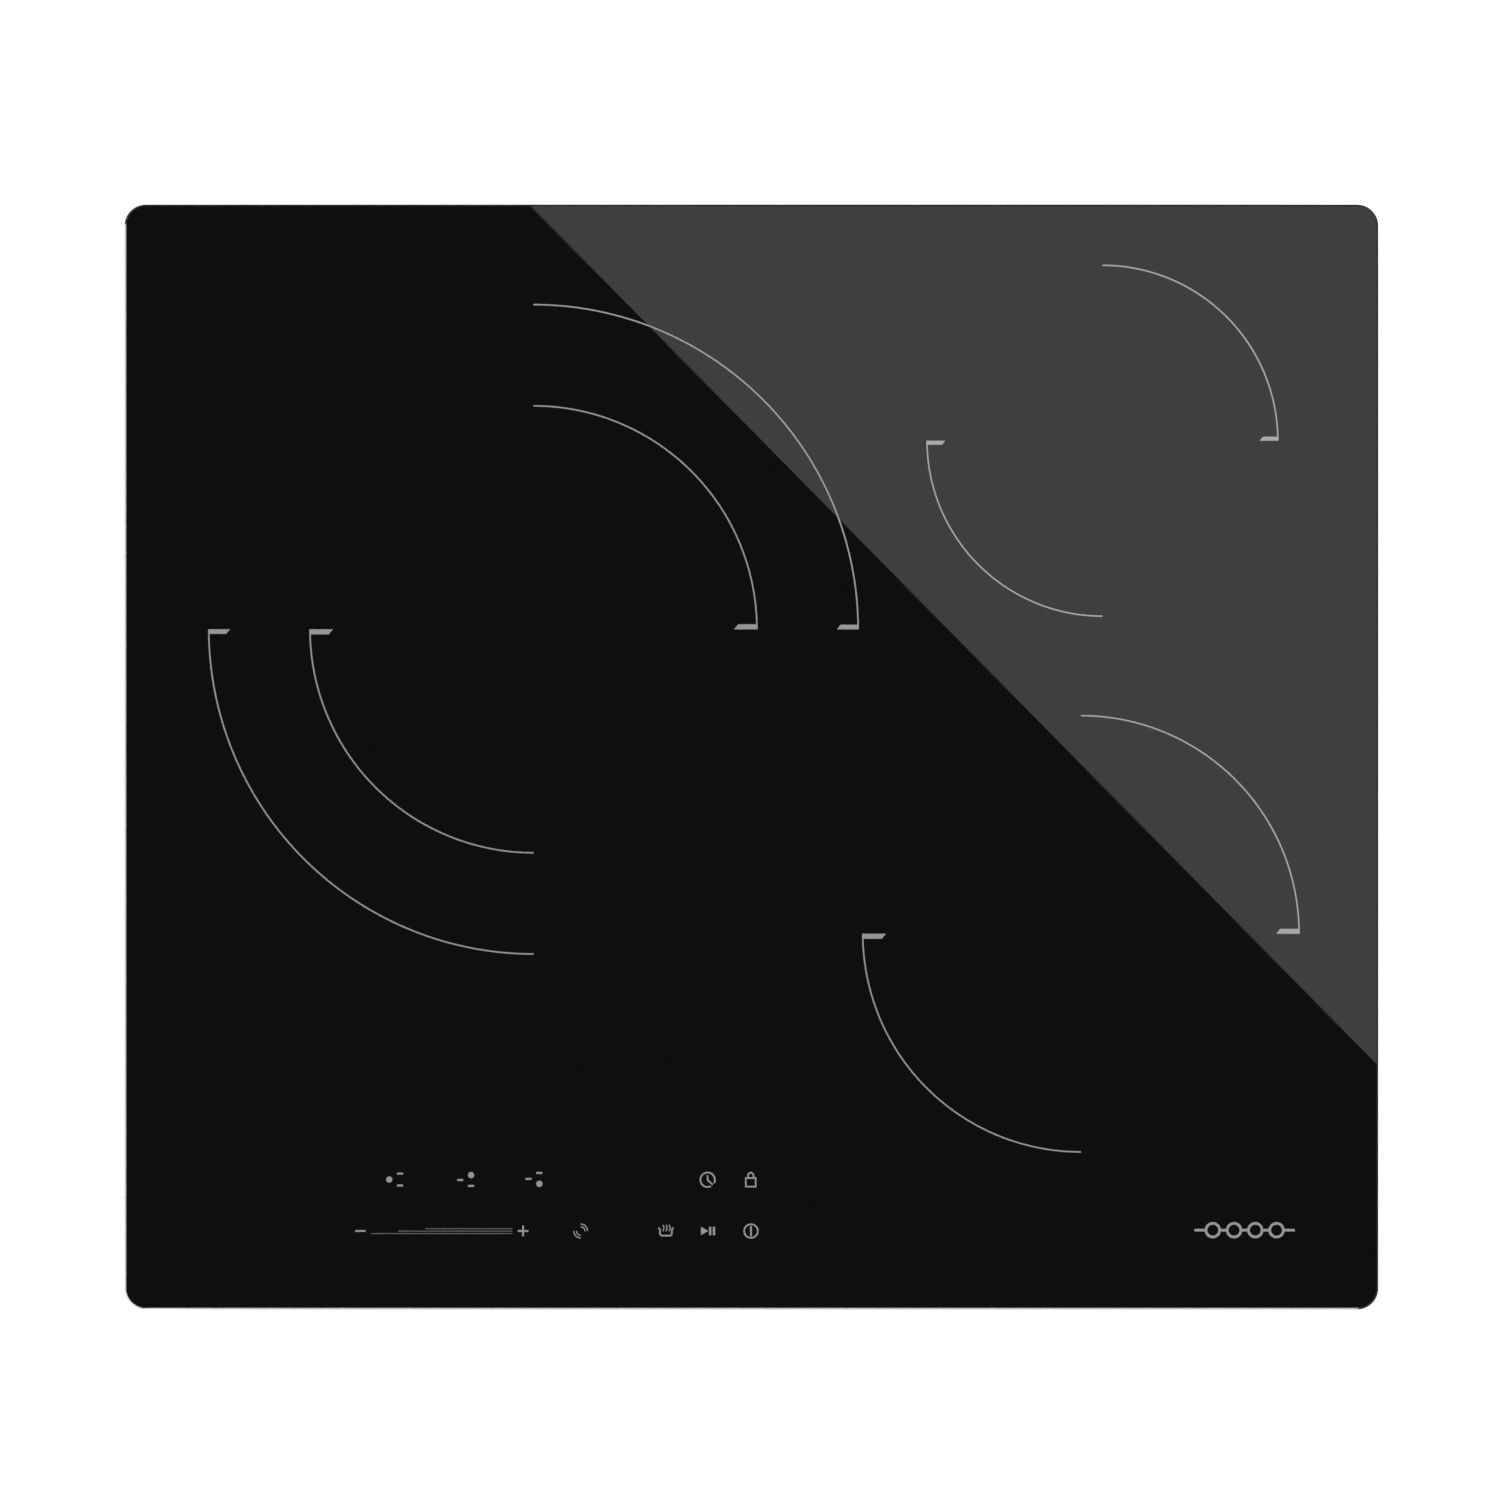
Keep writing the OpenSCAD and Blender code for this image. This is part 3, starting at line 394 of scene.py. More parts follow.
def moulded(name, color, roughness, grain=0.00004, scale=2400, coat=0.0):
    """Moulded plastic: spark-eroded grain and slight flow marks."""
    s = Surface(name, color, roughness, coat=coat)
    texture = s.noise(scale, 3)
    s.vary(s.noise(70, 3), 0.08, 0.05)
    s.bump(texture, grain)
    return s.mat


def rubber(name, color):
    """Matt rubber with a fine grain."""
    s = Surface(name, color, 0.72, ior=1.48)
    s.vary(s.noise(420, 3), 0.20, 0.08)
    s.bump(s.noise(1600, 2), 0.00005)
    return s.mat


def circuit_board():
    """Green solder mask over copper tracks, with rows of plated holes."""
    s = Surface("circuit_board", (0.010, 0.090, 0.045), 0.30, coat=0.4, coat_roughness=0.15)
    tracks = s.node("ShaderNodeTexBrick", Vector=s.stretched((1, 1, 0)), Scale=1.0)
    pattern = {"Mortar Size": 0.0009, "Brick Width": 0.021, "Row Height": 0.0052, "Bias": 0.0}
    for name, value in pattern.items():
        tracks.inputs[name].default_value = value
    green = s.blend(tracks.outputs["Fac"], s.color, (0.030, 0.190, 0.085))
    holes = s.cells(190, stretch=(1, 1, 0), randomness=0.35)
    ring = s.remap(holes, 0.10, 0.13, 1.0, 0.0)
    s.drive("Base Color", s.blend(ring, green, (0.62, 0.60, 0.55)))
    s.drive("Metallic", ring)
    s.bump(tracks.outputs["Fac"], 0.00003)
    return s.mat


def litz_copper():
    """Twisted enamelled strands: slanting ridges round every turn of wire."""
    s = Surface("litz_copper", (0.50, 0.20, 0.075), 0.36, metallic=0.85, coat=0.5)
    place = s.stretched((1, 1, 2.5))
    strands = s.node("ShaderNodeTexWave", Vector=place, Scale=320, Distortion=1.2, Detail=1.0)
    strands.bands_direction = "DIAGONAL"
    s.vary(strands.outputs["Fac"], 0.28)
    s.bump(strands.outputs["Fac"], 0.00018)
    s.bump(s.noise(900, 2), 0.00006)
    return s.mat


def aluminium(name, color, roughness, stretch):
    """Bare aluminium with its rolling or extrusion lines."""
    s = Surface(name, color, roughness, metallic=1.0)
    lines = s.noise(1300, 3, stretch)
    s.vary(lines, 0.07, 0.07)
    s.bump(lines, 0.000015)
    return s.mat


def speckled(name, color, roughness, scale, amount, depth):
    """Sintered or flaked materials: ferrite, mica and fired ceramic."""
    s = Surface(name, color, roughness)
    flakes = s.cells(scale, output="Color")
    split = s.node("ShaderNodeSeparateColor", Color=flakes)
    s.vary(split.outputs[1], amount, 0.06)
    s.bump(s.noise(scale, 3), depth)
    return s.mat


def ribbed_cable():
    """A flat cable with a ridge over every core."""
    s = Surface("ribbed_cable", (0.48, 0.48, 0.45), 0.45)
    ribs = s.node("ShaderNodeTexWave", Vector=s.stretched((1, 0, 0)), Scale=250)
    s.vary(ribs.outputs["Fac"], 0.15)
    s.bump(ribs.outputs["Fac"], 0.0002)
    return s.mat


def copper_choke():
    """The choke's winding: glossy turns of enamelled wire."""
    s = Surface("enamelled_copper", (0.42, 0.15, 0.05), 0.25, metallic=0.7, coat=0.8)
    turns = s.node("ShaderNodeTexWave", Vector=s.place, Scale=260, Distortion=0.5)
    s.vary(turns.outputs["Fac"], 0.30)
    s.bump(turns.outputs["Fac"], 0.0003)
    return s.mat


def make_materials():
    """One Blender material for each material slot of the record."""
    return {
        "black_glass": black_glass(),
        "printed_enamel": printed_enamel(),
        "foam_seal": foam_seal(),
        "silicone": silicone(),
        "zinc_sheet": zinc_sheet(),
        "yellow_zinc": plated("yellow_zinc", (0.62, 0.47, 0.20), 0.30),
        "bright_steel": plated("bright_steel", (0.62, 0.63, 0.64), 0.27),
        "light_plastic": moulded("light_plastic", (0.62, 0.60, 0.54), 0.50),
        "white_plastic": moulded("white_plastic", (0.74, 0.73, 0.69), 0.42),
        "black_rubber": rubber("black_rubber", (0.018, 0.018, 0.018)),
        "brass_posts": plated("brass_posts", (0.60, 0.46, 0.20), 0.25),
        "green_board": circuit_board(),
        "dark_plastic": moulded("dark_plastic", (0.035, 0.038, 0.042), 0.52),
        "black_plastic": moulded("black_plastic", (0.020, 0.021, 0.023), 0.45),
        "contact_foam": speckled("contact_foam", (0.07, 0.07, 0.07), 0.9, 1800, 0.4, 0.0001),
        "display_black": moulded("display_black", (0.012, 0.012, 0.013), 0.12, 0.000004, coat=0.6),
        "grey_cable": ribbed_cable(),
        "black_resin": moulded("black_resin", (0.018, 0.018, 0.018), 0.60, 0.00006),
        "yellow_film": moulded("yellow_film", (0.60, 0.36, 0.02), 0.30, 0.00002, coat=0.3),
        "enamelled_copper": copper_choke(),
        "blue_plastic": moulded("blue_plastic", (0.015, 0.075, 0.26), 0.33),
        "red_silicone": rubber("red_silicone", (0.36, 0.025, 0.02)),
        "aluminium_sheet": aluminium("aluminium_sheet", (0.80, 0.81, 0.82), 0.32, (1, 0.03, 1)),
        "aluminium_extrusion": aluminium("aluminium_extrusion", (0.74, 0.75, 0.77), 0.36, (1, 0.02, 1)),
        "cream_plastic": moulded("cream_plastic", (0.72, 0.64, 0.46), 0.48),
        "litz_copper": litz_copper(),
        "ferrite": speckled("ferrite", (0.030, 0.030, 0.033), 0.55, 1400, 0.35, 0.00004),
        "mica": speckled("mica", (0.46, 0.38, 0.25), 0.42, 700, 0.25, 0.00003),
        "sensor_ceramic": speckled("sensor_ceramic", (0.76, 0.76, 0.72), 0.40, 2000, 0.06, 0.00001),
    }


# ---------- Mesh helpers ----------


def arc(cx, cy, r, start, end, steps):
    """Points on an arc, both ends included, with angles in degrees."""
    angles = [math.radians(start + (end - start) * i / steps) for i in range(steps + 1)]
    return [(cx + r * math.cos(a), cy + r * math.sin(a)) for a in angles]


def rounded_outline(width, depth, r, steps=12):
    """A rounded rectangle about the origin, anticlockwise, with the same number of points for any size."""
    x, y = width / 2 - r, depth / 2 - r
    points = []
    for cx, cy, start in ((x, y, 0), (-x, y, 90), (-x, -y, 180), (x, -y, 270)):
        points += arc(cx, cy, r, start, start + 90, steps)
    return points


def loft(bm, rings, close=False):
    """Quads between rings of points; close joins the last ring to the first."""
    rows = [[bm.verts.new(p) for p in ring] for ring in rings]
    pairs = list(zip(rows, rows[1:]))
    if close:
        pairs.append((rows[-1], rows[0]))
    for low, high in pairs:
        count = len(low)
        for i in range(count):
            j = (i + 1) % count
            bm.faces.new((low[i], low[j], high[j], high[i]))
    return rows


def solid(rings):
    """A closed bmesh lofted through rings, with a face over each end."""
    bm = bmesh.new()
    rows = loft(bm, rings)
    bm.faces.new(rows[0])
    bm.faces.new(rows[-1])
    return bm


def prism(outline, low, high):
    """An upright closed prism."""
    return solid([[(x, y, z) for x, y in outline] for z in (low, high)])


def make_piece(name, bm, mats, body, *replaced, sharp=35):
    """Turns a bmesh into an object that rides on a body and stands for CAD nodes."""
    bmesh.ops.recalc_face_normals(bm, faces=bm.faces)
    mesh = bpy.data.meshes.new(name)
    bm.to_mesh(mesh)
    bm.free()
    for mat in mats:
        mesh.materials.append(mat)
    mesh.shade_smooth()
    mesh.set_sharp_from_angle(angle=math.radians(sharp))
    obj = link(bpy.data.objects.new(name, mesh))
    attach(obj, body)
    if replaced:
        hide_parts(*replaced)
    return obj


def cut(obj, cutters):
    """Subtracts closed meshes from a piece and keeps the result as its mesh."""
    for cutter in cutters:
        step = obj.modifiers.new("cut", "BOOLEAN")
        step.operation = "DIFFERENCE"
        step.solver = "EXACT"
        step.object = cutter
    depsgraph = bpy.context.evaluated_depsgraph_get()
    result = bpy.data.meshes.new_from_object(obj.evaluated_get(depsgraph))
    obj.modifiers.clear()
    obj.data = result
    for cutter in cutters:
        bpy.data.objects.remove(cutter)


# ---------- Glass and print ----------

GLASS_R = 10 * MM
BEVEL_W = 0.95 * MM
BEVEL_H = 0.72 * MM
LOWER_BEVEL = 0.5 * MM
EDGE_ROUND = 0.03 * MM
PRINT_H = 0.03 * MM
PRINT_SUNK = 0.05 * MM


def make_glass(mats):
    """The panel, with a ground bevel round the top and a smaller one below. It is lower than the CAD glass by
    the height of the print, so that the print ends at the top of the CAD box."""
    low, high = GLASS_LOW.z, GLASS_HIGH.z - PRINT_H
    profile = [
        (LOWER_BEVEL, low), (0.0, low + LOWER_BEVEL), (0.0, high - BEVEL_H - 0.1 * MM),
        (EDGE_ROUND, high - BEVEL_H), (BEVEL_W - EDGE_ROUND, high - 0.02 * MM), (BEVEL_W, high),
    ]
    rings = [
        [(x, y, z) for x, y in rounded_outline(GLASS_W - 2 * i, GLASS_D - 2 * i, GLASS_R - i, 24)]
        for i, z in profile
    ]
    bm = solid(rings)
    # The flat top and bottom are polished, and everything between them is ground
    for face in bm.faces:
        face.material_index = 0 if len(face.verts) > 4 else 1
    looks = [mats["black_glass"], ground_edge()]
    make_piece("glass_with_ground_edge", bm, looks, "case", "glass_panel", sharp=12)


class Print:
    """Thin flat marks on the glass, all in one mesh."""

    def __init__(self):
        self.bm = bmesh.new()
        self.offset = (0.0, 0.0)
        self.index = 0

    def at(self, x, y):
        """Moves the origin of the marks that follow, in millimetres."""
        self.offset = (x, y)
        return self

    def rows(self, points):
        """The points twice: sunk into the glass, and on top of the print."""
        ox, oy = self.offset
        return [
            [self.bm.verts.new(((ox + x) * MM, (oy + y) * MM, z)) for x, y in points]
            for z in (GLASS_TOP - PRINT_SUNK, GLASS_TOP)
        ]

    def face(self, verts):
        """A face in the material that is in use."""
        self.bm.faces.new(verts).material_index = self.index

    def shape(self, points):
        """A filled outline, in millimetres."""
        low, high = self.rows(points)
        self.face(low[::-1])
        self.face(high)
        for i in range(len(points)):
            j = (i + 1) % len(points)
            self.face((low[i], low[j], high[j], high[i]))

    def stroke(self, points, width, closed=False):
        """A line of even width along points, in millimetres."""
        count = len(points)
        left, right = [], []
        for i, point in enumerate(points):
            before = points[(i - 1) % count] if closed or i else point
            after = points[(i + 1) % count] if closed or i < count - 1 else point
            here = Vector(point)
            steps = (here - Vector(before), Vector(after) - here)
            ways = [step.normalized() for step in steps if step.length > 1e-9]
            way = sum(ways, Vector((0, 0))).normalized()
            side = Vector((-way.y, way.x))
            reach = width / 2 / max(0.4, side.dot(Vector((-ways[0].y, ways[0].x))))
            left.append(here + side * reach)
            right.append(here - side * reach)
        (left_low, left_high), (right_low, right_high) = self.rows(left), self.rows(right)
        for i in range(count if closed else count - 1):
            j = (i + 1) % count
            self.face((left_low[i], left_low[j], left_high[j], left_high[i]))
            self.face((right_low[j], right_low[i], right_high[i], right_high[j]))
            self.face((left_high[i], left_high[j], right_high[j], right_high[i]))
            self.face((left_low[j], left_low[i], right_low[i], right_low[j]))
        if not closed:
            self.face((left_low[0], left_high[0], right_high[0], right_low[0]))
            self.face((left_low[-1], right_low[-1], right_high[-1], left_high[-1]))

    def line(self, x0, y0, x1, y1, width):
        """A straight stroke."""
        self.stroke([(x0, y0), (x1, y1)], width)

    def circle(self, r, width, steps=64):
        """A round stroke about the origin."""
        self.stroke(arc(0, 0, r, 0, 360, steps)[:-1], width, closed=True)


# Line widths and places of the print, in millimetres
LINE_W = 0.64
ICON_W = 0.7
THIN_W = 0.45
DASH_W = 0.8
KEY_DASH_W = 0.9
SLIDER_LINE_W = 0.42
SIGN_W = 1.2
RINGS = [
    # centre x and y, radius, length and thickness of the end bar
    (-102.5, 60.1, 152.7, 10.3, 2.13),
    (-102.5, 60.1, 105.1, 11.1, 2.37),
    (165.1, 148.8, 82.5, 8.9, 1.9),
    (155.0, -83.1, 102.6, 11.2, 2.35),
]
ZONE_KEYS = ((-167.8, -198.7), (-134.4, -198.9), (-102.3, -198.4))
SLIDER_Y = -222.9


def print_zone(ink, x, y, r, bar_length, bar_t):
    """Two opposite quarter arcs, each ending in a bar with a slanted tip."""
    outer, inner = r + LINE_W / 2, r - LINE_W / 2
    corner = math.degrees(math.asin(bar_t / inner))
    tip = 0.85 * bar_t
    outline = arc(0, 0, outer, 0, 90, 160) + arc(0, 0, inner, 90, corner, 160)
    outline += [(outer - bar_length + tip, bar_t), (outer - bar_length, 0)]
    ink.at(x, y).shape(outline)
    ink.shape([(-px, -py) for px, py in outline])


def print_zone_key(ink, x, y, chosen):
    """One dot for the chosen zone and a dash for each of the others."""
    for i, (dx, up) in enumerate(((-2.55, 0), (2.55, 1), (2.55, -1))):
        if i == chosen:
            ink.at(x + dx, y + 2.3 * up).shape(arc(0, 0, 1.45, 0, 360, 32)[:-1])
        else:
            ink.at(x + dx, y + 2.8 * up).line(-1.4, 0, 1.4, 0, KEY_DASH_W)


def print_key_row(ink):
    """The rear row of signs: three zone keys, timer and lock."""
    for i, (x, y) in enumerate(ZONE_KEYS):
        print_zone_key(ink, x, y, i)
    # Timer: a clock face whose lower right is left open
    ink.at(-20.6, -198.8)
    ink.stroke(arc(0, 0, 3.4, -28, 298, 60), ICON_W)
    ink.stroke([(0, 2.1), (0, -0.1), (2.4, -2.3)], ICON_W)
    # Lock
    ink.at(-0.3, -200)
    ink.stroke([(-2.33, -2.03), (2.33, -2.03), (2.33, 2.03), (-2.33, 2.03)], ICON_W, closed=True)
    shackle = [(-1.28, 2.39), (-1.28, 3.2), *arc(0, 3.25, 1.28, 170, 10, 14), (1.28, 3.2), (1.28, 2.39)]
    ink.stroke(shackle, ICON_W)


def print_slider(ink):
    """Minus, plus, and three faint lines between them that start one after the other."""
    ink.at(-183.9, SLIDER_Y).line(-2.45, 0, 2.45, 0, DASH_W)
    ink.at(-107.4, SLIDER_Y).line(-2.5, 0, 2.5, 0, DASH_W)
    for sign in (-1, 1):
        ink.line(0, sign * 0.4, 0, sign * 2.5, DASH_W)
    ink.index = 1
    for i, start in enumerate((-178.9, -166.1, -153.4)):
        ink.at(0, -224.1 + 1.15 * i).line(start, 0, -112.4, 0, SLIDER_LINE_W)
    ink.index = 0


def print_lower_row(ink):
    """The front row of signs: second ring, keep warm, pause, and on and off."""
    # Second ring of the left zone
    ink.at(-80.3, SLIDER_Y)
    for start in (0, 180):
        for r in (2.0, 3.25):
            ink.stroke(arc(0, 0, r, start, start + 90, 16), THIN_W)
    # Keep warm: a pan with steam
    ink.at(-40.2, SLIDER_Y)
    side, floor, corner = 2.8, -2.2, 1.05
    pan = [(-side - 0.7, 1.5), (-side - 0.15, 1.0), (-side, 0.5)]
    pan += arc(corner - side, floor + corner, corner, 180, 270, 8)
    pan += arc(side - corner, floor + corner, corner, 270, 360, 8)
    pan += [(side, 0.5), (side + 0.15, 1.0), (side + 0.7, 1.5)]
    ink.stroke(pan, ICON_W)
    for x in (-1, 0.45, 1.9):
        ink.stroke(arc(x - 2.3, 1.4, 2.32, -38, 38, 10), THIN_W)
    # Pause
    ink.at(-20.3, SLIDER_Y).shape([(-3.4, -1.95), (0.0, 0.0), (-3.4, 1.95)])
    for x in (0.9, 2.7):
        ink.line(x, -1.95, x, 1.95, 1.0)
    # On and off
    ink.at(-0.2, SLIDER_Y).circle(3.2, ICON_W)
    ink.line(0, -2.45, 0, 2.45, DASH_W)


def print_induction_sign(ink):
    """A plain row of coil loops, the generic sign for an inductor."""
    sign_x, sign_y = 232, -222.5
    for x in (-15, -5, 5, 15):
        ink.at(sign_x + x, sign_y).circle(3.2, SIGN_W)
    for x in (-10, 0, 10):
        ink.at(sign_x + x, sign_y).line(-1.2, 0, 1.2, 0, SIGN_W)
    for x in (-21.2, 21.2):
        ink.at(sign_x + x, sign_y).line(-2.4, 0, 2.4, 0, SIGN_W)


def make_print(mats):
    """All marks on the glass, as one piece."""
    ink = Print()
    for ring in RINGS:
        print_zone(ink, *ring)
    print_key_row(ink)
    print_slider(ink)
    print_lower_row(ink)
    print_induction_sign(ink)
    looks = [mats["printed_enamel"], faint_enamel()]
    make_piece("zone_and_key_print", ink.bm, looks, "case", "glass_print")


# ---------- Case ----------

CASE_LOW, CASE_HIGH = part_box("bottom_case")
CASE_W = CASE_HIGH.x - CASE_LOW.x
CASE_D = CASE_HIGH.y - CASE_LOW.y
SHEET = 0.8 * MM
FLOOR_Z = 2 * MM
STEP_Z = 22 * MM
STEP_W = 20 * MM
CASE_R = 12 * MM
RIM_IN = 10 * MM
FOLD_STEPS = 5
CUT_REACH = 3 * MM
GASKET_W = 8.5 * MM
GASKET_R = 9 * MM
GASKET_BULGE = 0.6


def make_gasket(mats):
    """A soft foam ring, bulging a little between the glass and the worktop."""
    low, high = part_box("rim_gasket")
    width, depth = high.x - low.x, high.y - low.y
    middle, half = (high.z + low.z) / 2, (high.z - low.z) / 2
    angles = [math.radians(a) for a in range(0, 181, 18)]
    section = [(half * (1 - math.sin(a)), -half * math.cos(a)) for a in angles]
    profile = [(GASKET_BULGE * i, z) for i, z in section]
    profile += [(GASKET_W - GASKET_BULGE * i, z) for i, z in reversed(section)]
    rings = []
    for inset, dz in profile:
        outline = rounded_outline(width - 2 * inset, depth - 2 * inset, GASKET_R - inset, 16)
        rings.append([(x, y, middle + dz) for x, y in outline])
    bm = bmesh.new()
    loft(bm, rings, close=True)
    make_piece("foam_seal_ring", bm, [mats["foam_seal"]], "case", "rim_gasket")


def bend(inset, z, r, start, end):
    """Profile points round a fold of the sheet."""
    return arc(inset, z, r, start, end, FOLD_STEPS)


def case_profile():
    """Inset and height of the sheet: down the outside, and back up the inside."""
    fold, inner = 2.0 * MM, 1.2 * MM
    top, low_r = CASE_HIGH.z, 2.8 * MM
    outside = [(RIM_IN, top)]
    outside += bend(fold, top - fold, fold, 90, 180)
    outside += bend(fold, STEP_Z + fold, fold, 180, 270)
    outside += bend(STEP_W - inner, STEP_Z - inner, inner, 90, 0)
    outside += bend(STEP_W + low_r, FLOOR_Z + low_r, low_r, 180, 270)
    inside = bend(STEP_W + low_r, FLOOR_Z + low_r, low_r - SHEET, 270, 180)
    inside += bend(STEP_W - inner, STEP_Z - inner, inner + SHEET, 0, 90)
    inside += bend(fold, STEP_Z + fold, fold - SHEET, 270, 180)
    inside += bend(fold, top - fold, fold - SHEET, 180, 90)
    inside += [(RIM_IN, top - SHEET)]
    return outside, inside


def case_ring(inset, z):
    """The case's outline at an inset: the lower tray's corners are as round as the upper's."""
    r = CASE_R - inset if inset < STEP_W / 2 else CASE_R + STEP_W - inset
    outline = rounded_outline(CASE_W - 2 * inset, CASE_D - 2 * inset, max(r, 2 * MM), 14)
    return [(x, y, z) for x, y in outline]


def slot_cutter(centre, size, through):
    """A prism with round ends: size is length and width, and through names the axis it cuts along. The slot
    is long in Y when it cuts along Z, and long in Z when it cuts along Y."""
    length, width = size
    r = width / 2
    shape = arc(length / 2 - r, 0, r, -90, 90, 8) + arc(-length / 2 + r, 0, r, 90, 270, 8)
    cx, cy, cz = centre
    rings = []
    for side in (-CUT_REACH, CUT_REACH):
        ring = []
        for u, v in shape:
            if through == "Z":
                ring.append((cx + v, cy + u, cz + side))
            else:
                ring.append((cx + v, cy + side, cz + u))
        rings.append(ring)
    return solid(rings)


def joined(name, parts):
    """One object from several bmeshes."""
    bm = bmesh.new()
    for part in parts:
        mesh = bpy.data.meshes.new(name)
        part.to_mesh(mesh)
        bm.from_mesh(mesh)
        part.free()
        bpy.data.meshes.remove(mesh)
    bmesh.ops.recalc_face_normals(bm, faces=bm.faces)
    mesh = bpy.data.meshes.new(name)
    bm.to_mesh(mesh)
    bm.free()
    return link(bpy.data.objects.new(name, mesh))


FAN_X, FAN_Y = 150 * MM, -140 * MM
SLOT_W = 3.5 * MM


def grille_cutters():
    """Ring-shaped air slots, broken by six spokes."""
    parts = []
    for side in (-1, 1):
        for r in (7, 13.5, 20, 26.5):
            spoke = math.degrees(math.asin(min(1, 1.5 / r)))
            for start in range(0, 360, 60):
                first, last = start + spoke, start + 60 - spoke
                outline = arc(0, 0, (r + 1.75) * MM, first, last, 10)
                outline += arc(0, 0, (r - 1.75) * MM, last, first, 10)
                moved = [(x + side * FAN_X, y + FAN_Y) for x, y in outline]
                parts.append(prism(moved, -2 * MM, 5 * MM))
    return parts


def wall_slot_cutters():
    """Upright air slots through the lower wall: two rows behind and one in front."""
    wall_y = CASE_D / 2 - STEP_W
    parts = []
    for first, count, side in ((-205, 20, 1), (30, 8, 1), (-97, 22, -1)):
        for i in range(count):
            x = (first + 1.75 + 9 * i) * MM
            parts.append(slot_cutter((x, side * wall_y, 12 * MM), (12 * MM, SLOT_W), "Y"))
    return parts


def floor_slot_cutters():
    """Two rows of long air slots through the floor."""
    parts = []
    for first in (-150, 20):
        for i in range(10):
            centre = ((first + 9 * i) * MM, 165 * MM, FLOOR_Z)
            parts.append(slot_cutter(centre, (44 * MM, SLOT_W), "Z"))
    return parts


FEET = [(-225, -195), (0, -195), (225, -195), (-225, 190), (0, 195), (240, 172)]


def make_feet(mats):
    """Round dimples pressed down from the floor."""
    for i, (x, y) in enumerate(FEET):
        outside = [(0, 0), (6.6, 0), (7.3, 0.35), (9.0, 1.9), (9.8, 2.25)]
        inside = [(9.8, 2.9), (8.6, 2.6), (6.9, 1.1), (6.2, 0.8), (0, 0.8)]
        rings = []
        for r, z in outside[1:] + inside[:-1]:
            circle = arc(x * MM, y * MM, r * MM, 0, 360, 40)[:-1]
            rings.append([(px, py, z * MM) for px, py in circle])
        make_piece(f"pressed_foot_{i + 1}", solid(rings), [mats["zinc_sheet"]], "case")


def opening_cutter():
    """The terminal opening in the floor, a little larger than its cover."""
    gap, front = 1 * MM, 149 * MM
    low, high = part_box("terminal_cover")
    west, east, back = low.x - gap, high.x + gap, high.y + gap
    return prism([(west, front), (east, front), (east, back), (west, back)], -1 * MM, 5 * MM)


def gland_cutter():
    """The round hole for the mains lead's bush in the rear wall."""
    low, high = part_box("cable_gland")
    x, z = (low.x + high.x) / 2, (low.z + high.z) / 2
    circle = arc(x, z, 7.6 * MM, 0, 360, 48)[:-1]
    wall_y = CASE_D / 2 - STEP_W
    return solid([[(px, y, pz) for px, pz in circle] for y in (wall_y - CUT_REACH, wall_y + CUT_REACH)])


def clamp_hole_cutters():
    """A hole through the step for each worktop clamp's screw."""
    parts = []
    for x_side in (-1, 1):
        for y_side in (-1, 1):
            x, y = x_side * (CASE_W / 2 - STEP_W / 2), y_side * 150 * MM
            hole = arc(x, y, 3.6 * MM, 0, 360, 32)[:-1]
            parts.append(prism(hole, STEP_Z - CUT_REACH, STEP_Z + CUT_REACH))
    return parts


def foot_hole_cutters():
    """A hole through the floor over each foot, which the dimple's rim overlaps."""
    holes = [arc(x * MM, y * MM, 8.2 * MM, 0, 360, 40)[:-1] for x, y in FEET]
    return [prism(hole, 0, 5 * MM) for hole in holes]


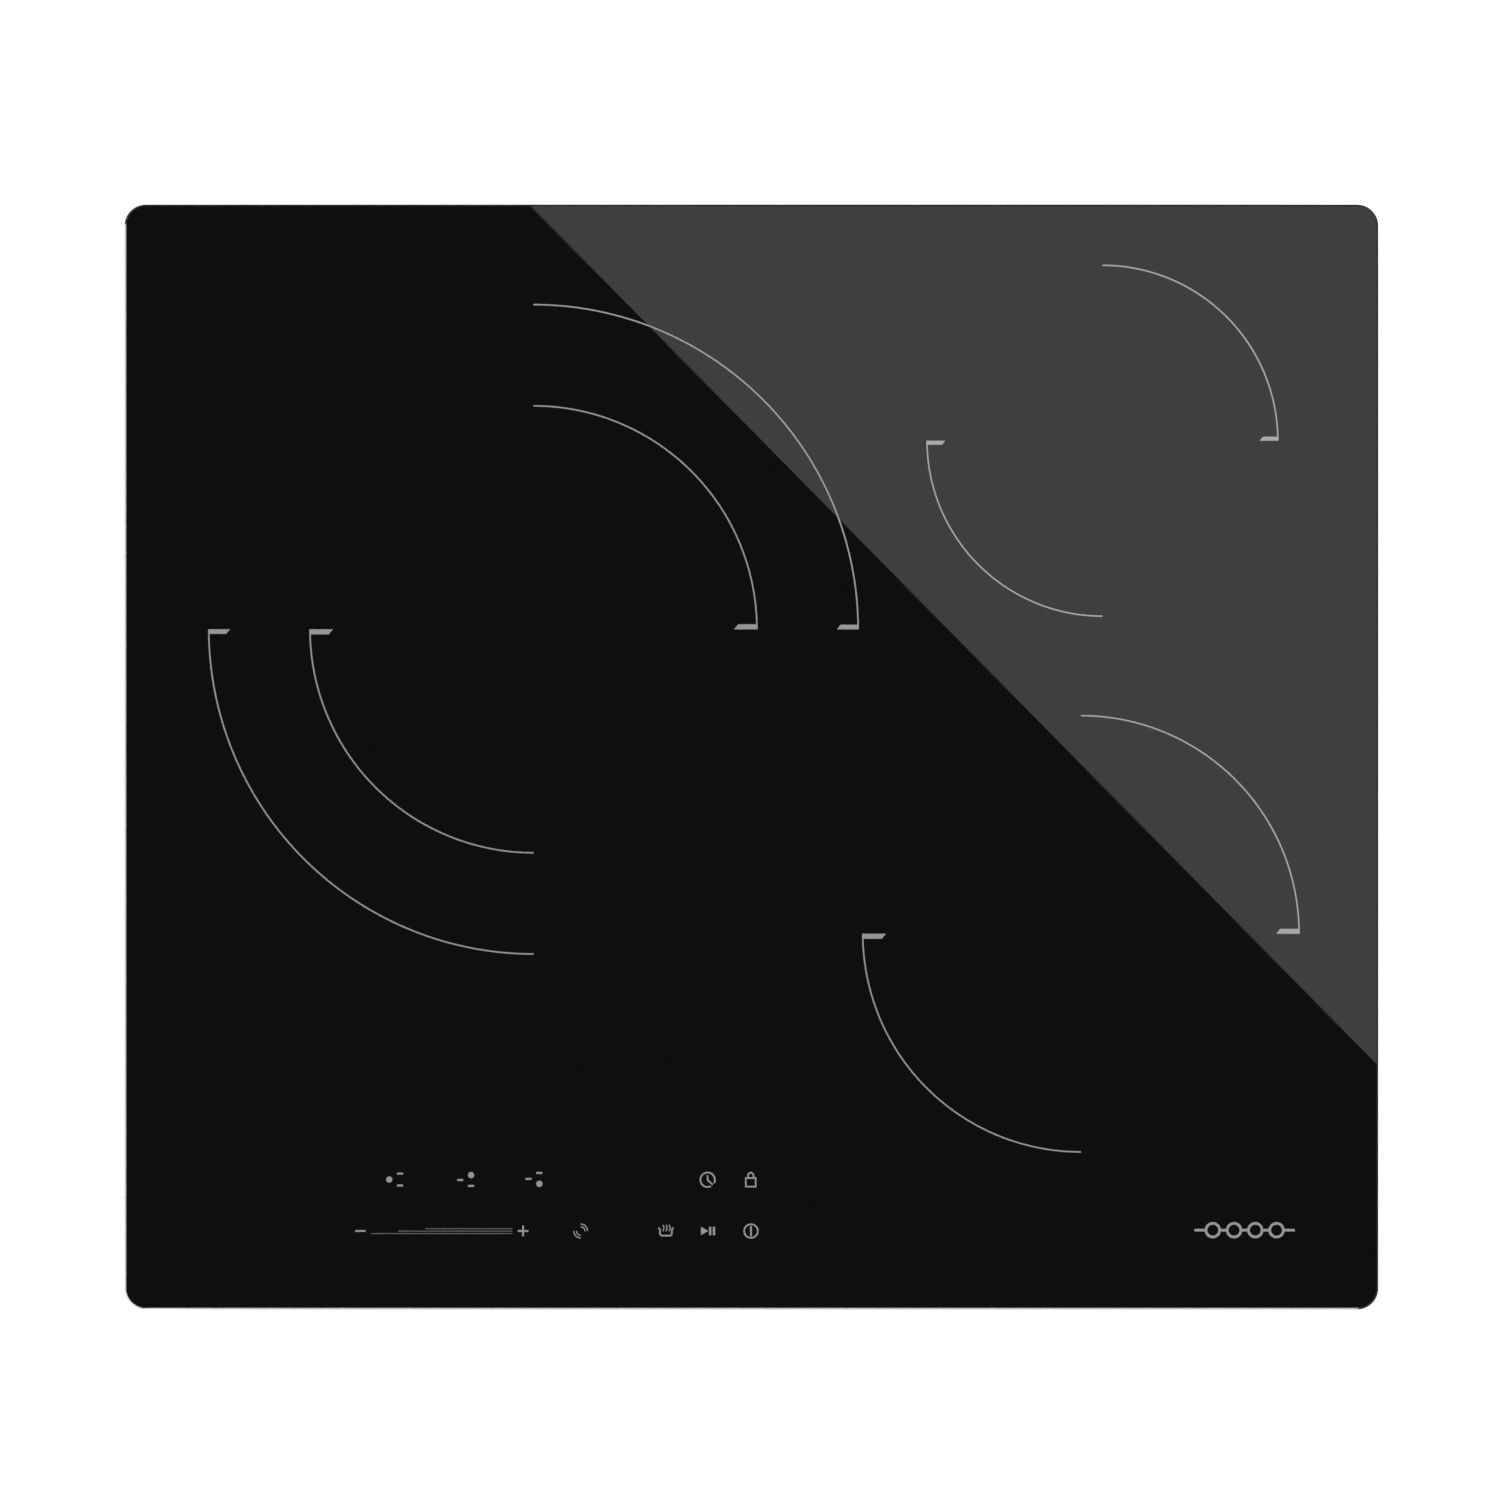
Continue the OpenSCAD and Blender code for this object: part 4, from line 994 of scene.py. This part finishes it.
def make_case(mats):
    """The stepped tray as one folded sheet, with its slots, grilles and terminal opening."""
    bm = bmesh.new()
    outside, inside = case_profile()
    rows = loft(bm, [case_ring(i, z) for i, z in outside + inside])
    # The floor closes both sides of the sheet, and the rim's edge joins them
    turn = len(outside)
    count = len(rows[0])
    above, below = set(rows[turn - 1]), set(rows[turn])
    for face in [f for f in bm.faces if above & set(f.verts) and below & set(f.verts)]:
        bm.faces.remove(face)
    bm.faces.new(rows[turn - 1])
    bm.faces.new(rows[turn])
    for i in range(count):
        j = (i + 1) % count
        bm.faces.new((rows[-1][i], rows[-1][j], rows[0][j], rows[0][i]))
    case = make_piece("stepped_steel_case", bm, [mats["zinc_sheet"]], "case", "bottom_case")
    cutters = joined("case_cutters", [
        opening_cutter(), gland_cutter(), *clamp_hole_cutters(), *foot_hole_cutters(),
        *grille_cutters(), *wall_slot_cutters(), *floor_slot_cutters(),
    ])
    cut(case, [cutters])
    case.data.shade_smooth()
    case.data.set_sharp_from_angle(angle=math.radians(35))
    make_feet(mats)


# ---------- Sensor springs ----------

SPRING_WIRE_R = 0.3 * MM
SPRING_TURNS = 3


def make_spring(zone, mat):
    """A sensor's helical spring, flatter towards its ends, built at one fixed length."""
    low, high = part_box("sensor_spring_" + zone)
    middle = (low + high) / 2
    length = high.z - low.z
    coil_r = (high.x - low.x) / 2 - SPRING_WIRE_R
    sides = 10
    steps = 32 * SPRING_TURNS
    rings = []
    for i in range(steps + 1):
        t = i / steps
        level = low.z + SPRING_WIRE_R + (length - 2 * SPRING_WIRE_R) * t * t * (3 - 2 * t)
        turn = math.tau * SPRING_TURNS * t
        out = Vector((math.cos(turn), math.sin(turn), 0))
        centre = Vector((middle.x, middle.y, level)) + coil_r * out
        angles = [math.tau * k / sides for k in range(sides)]
        around = [out * math.cos(a) + Vector((0, 0, math.sin(a))) for a in angles]
        rings.append([centre + SPRING_WIRE_R * way for way in around])
    spring = make_piece("spring_wire_" + zone, solid(rings), [mat], "case", "sensor_spring_" + zone)
    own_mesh(spring)


# ---------- CAD nodes that stay ----------


def finish_cad_nodes(mats):
    """Each CAD node takes its slot's material, and visible hardware gets softened edges."""
    for part in frame["record"]["subparts"]:
        node = nodes[part["node"]]
        node.data.materials.clear()
        node.data.materials.append(mats[part["material_slot"]])
    softened = ("clamp_screw", "clamp_bracket", "terminal_cover", "terminal_housing", "rivet_nuts")
    for name, node in nodes.items():
        if name.startswith(softened):
            edge = node.modifiers.new("soft_edges", "BEVEL")
            edge.width = 0.25 * MM
            edge.segments = 2
            edge.limit_method = "ANGLE"
            edge.angle_limit = math.radians(40)
            edge.harden_normals = False


make_camera()
make_lights()
make_world()
make_floor()
materials = make_materials()
finish_cad_nodes(materials)
make_glass(materials)
make_print(materials)
make_gasket(materials)
make_case(materials)
for zone_name in ("left", "rear", "front"):
    make_spring(zone_name, materials["bright_steel"])

bpy.context.scene.view_settings.view_transform = "Standard"
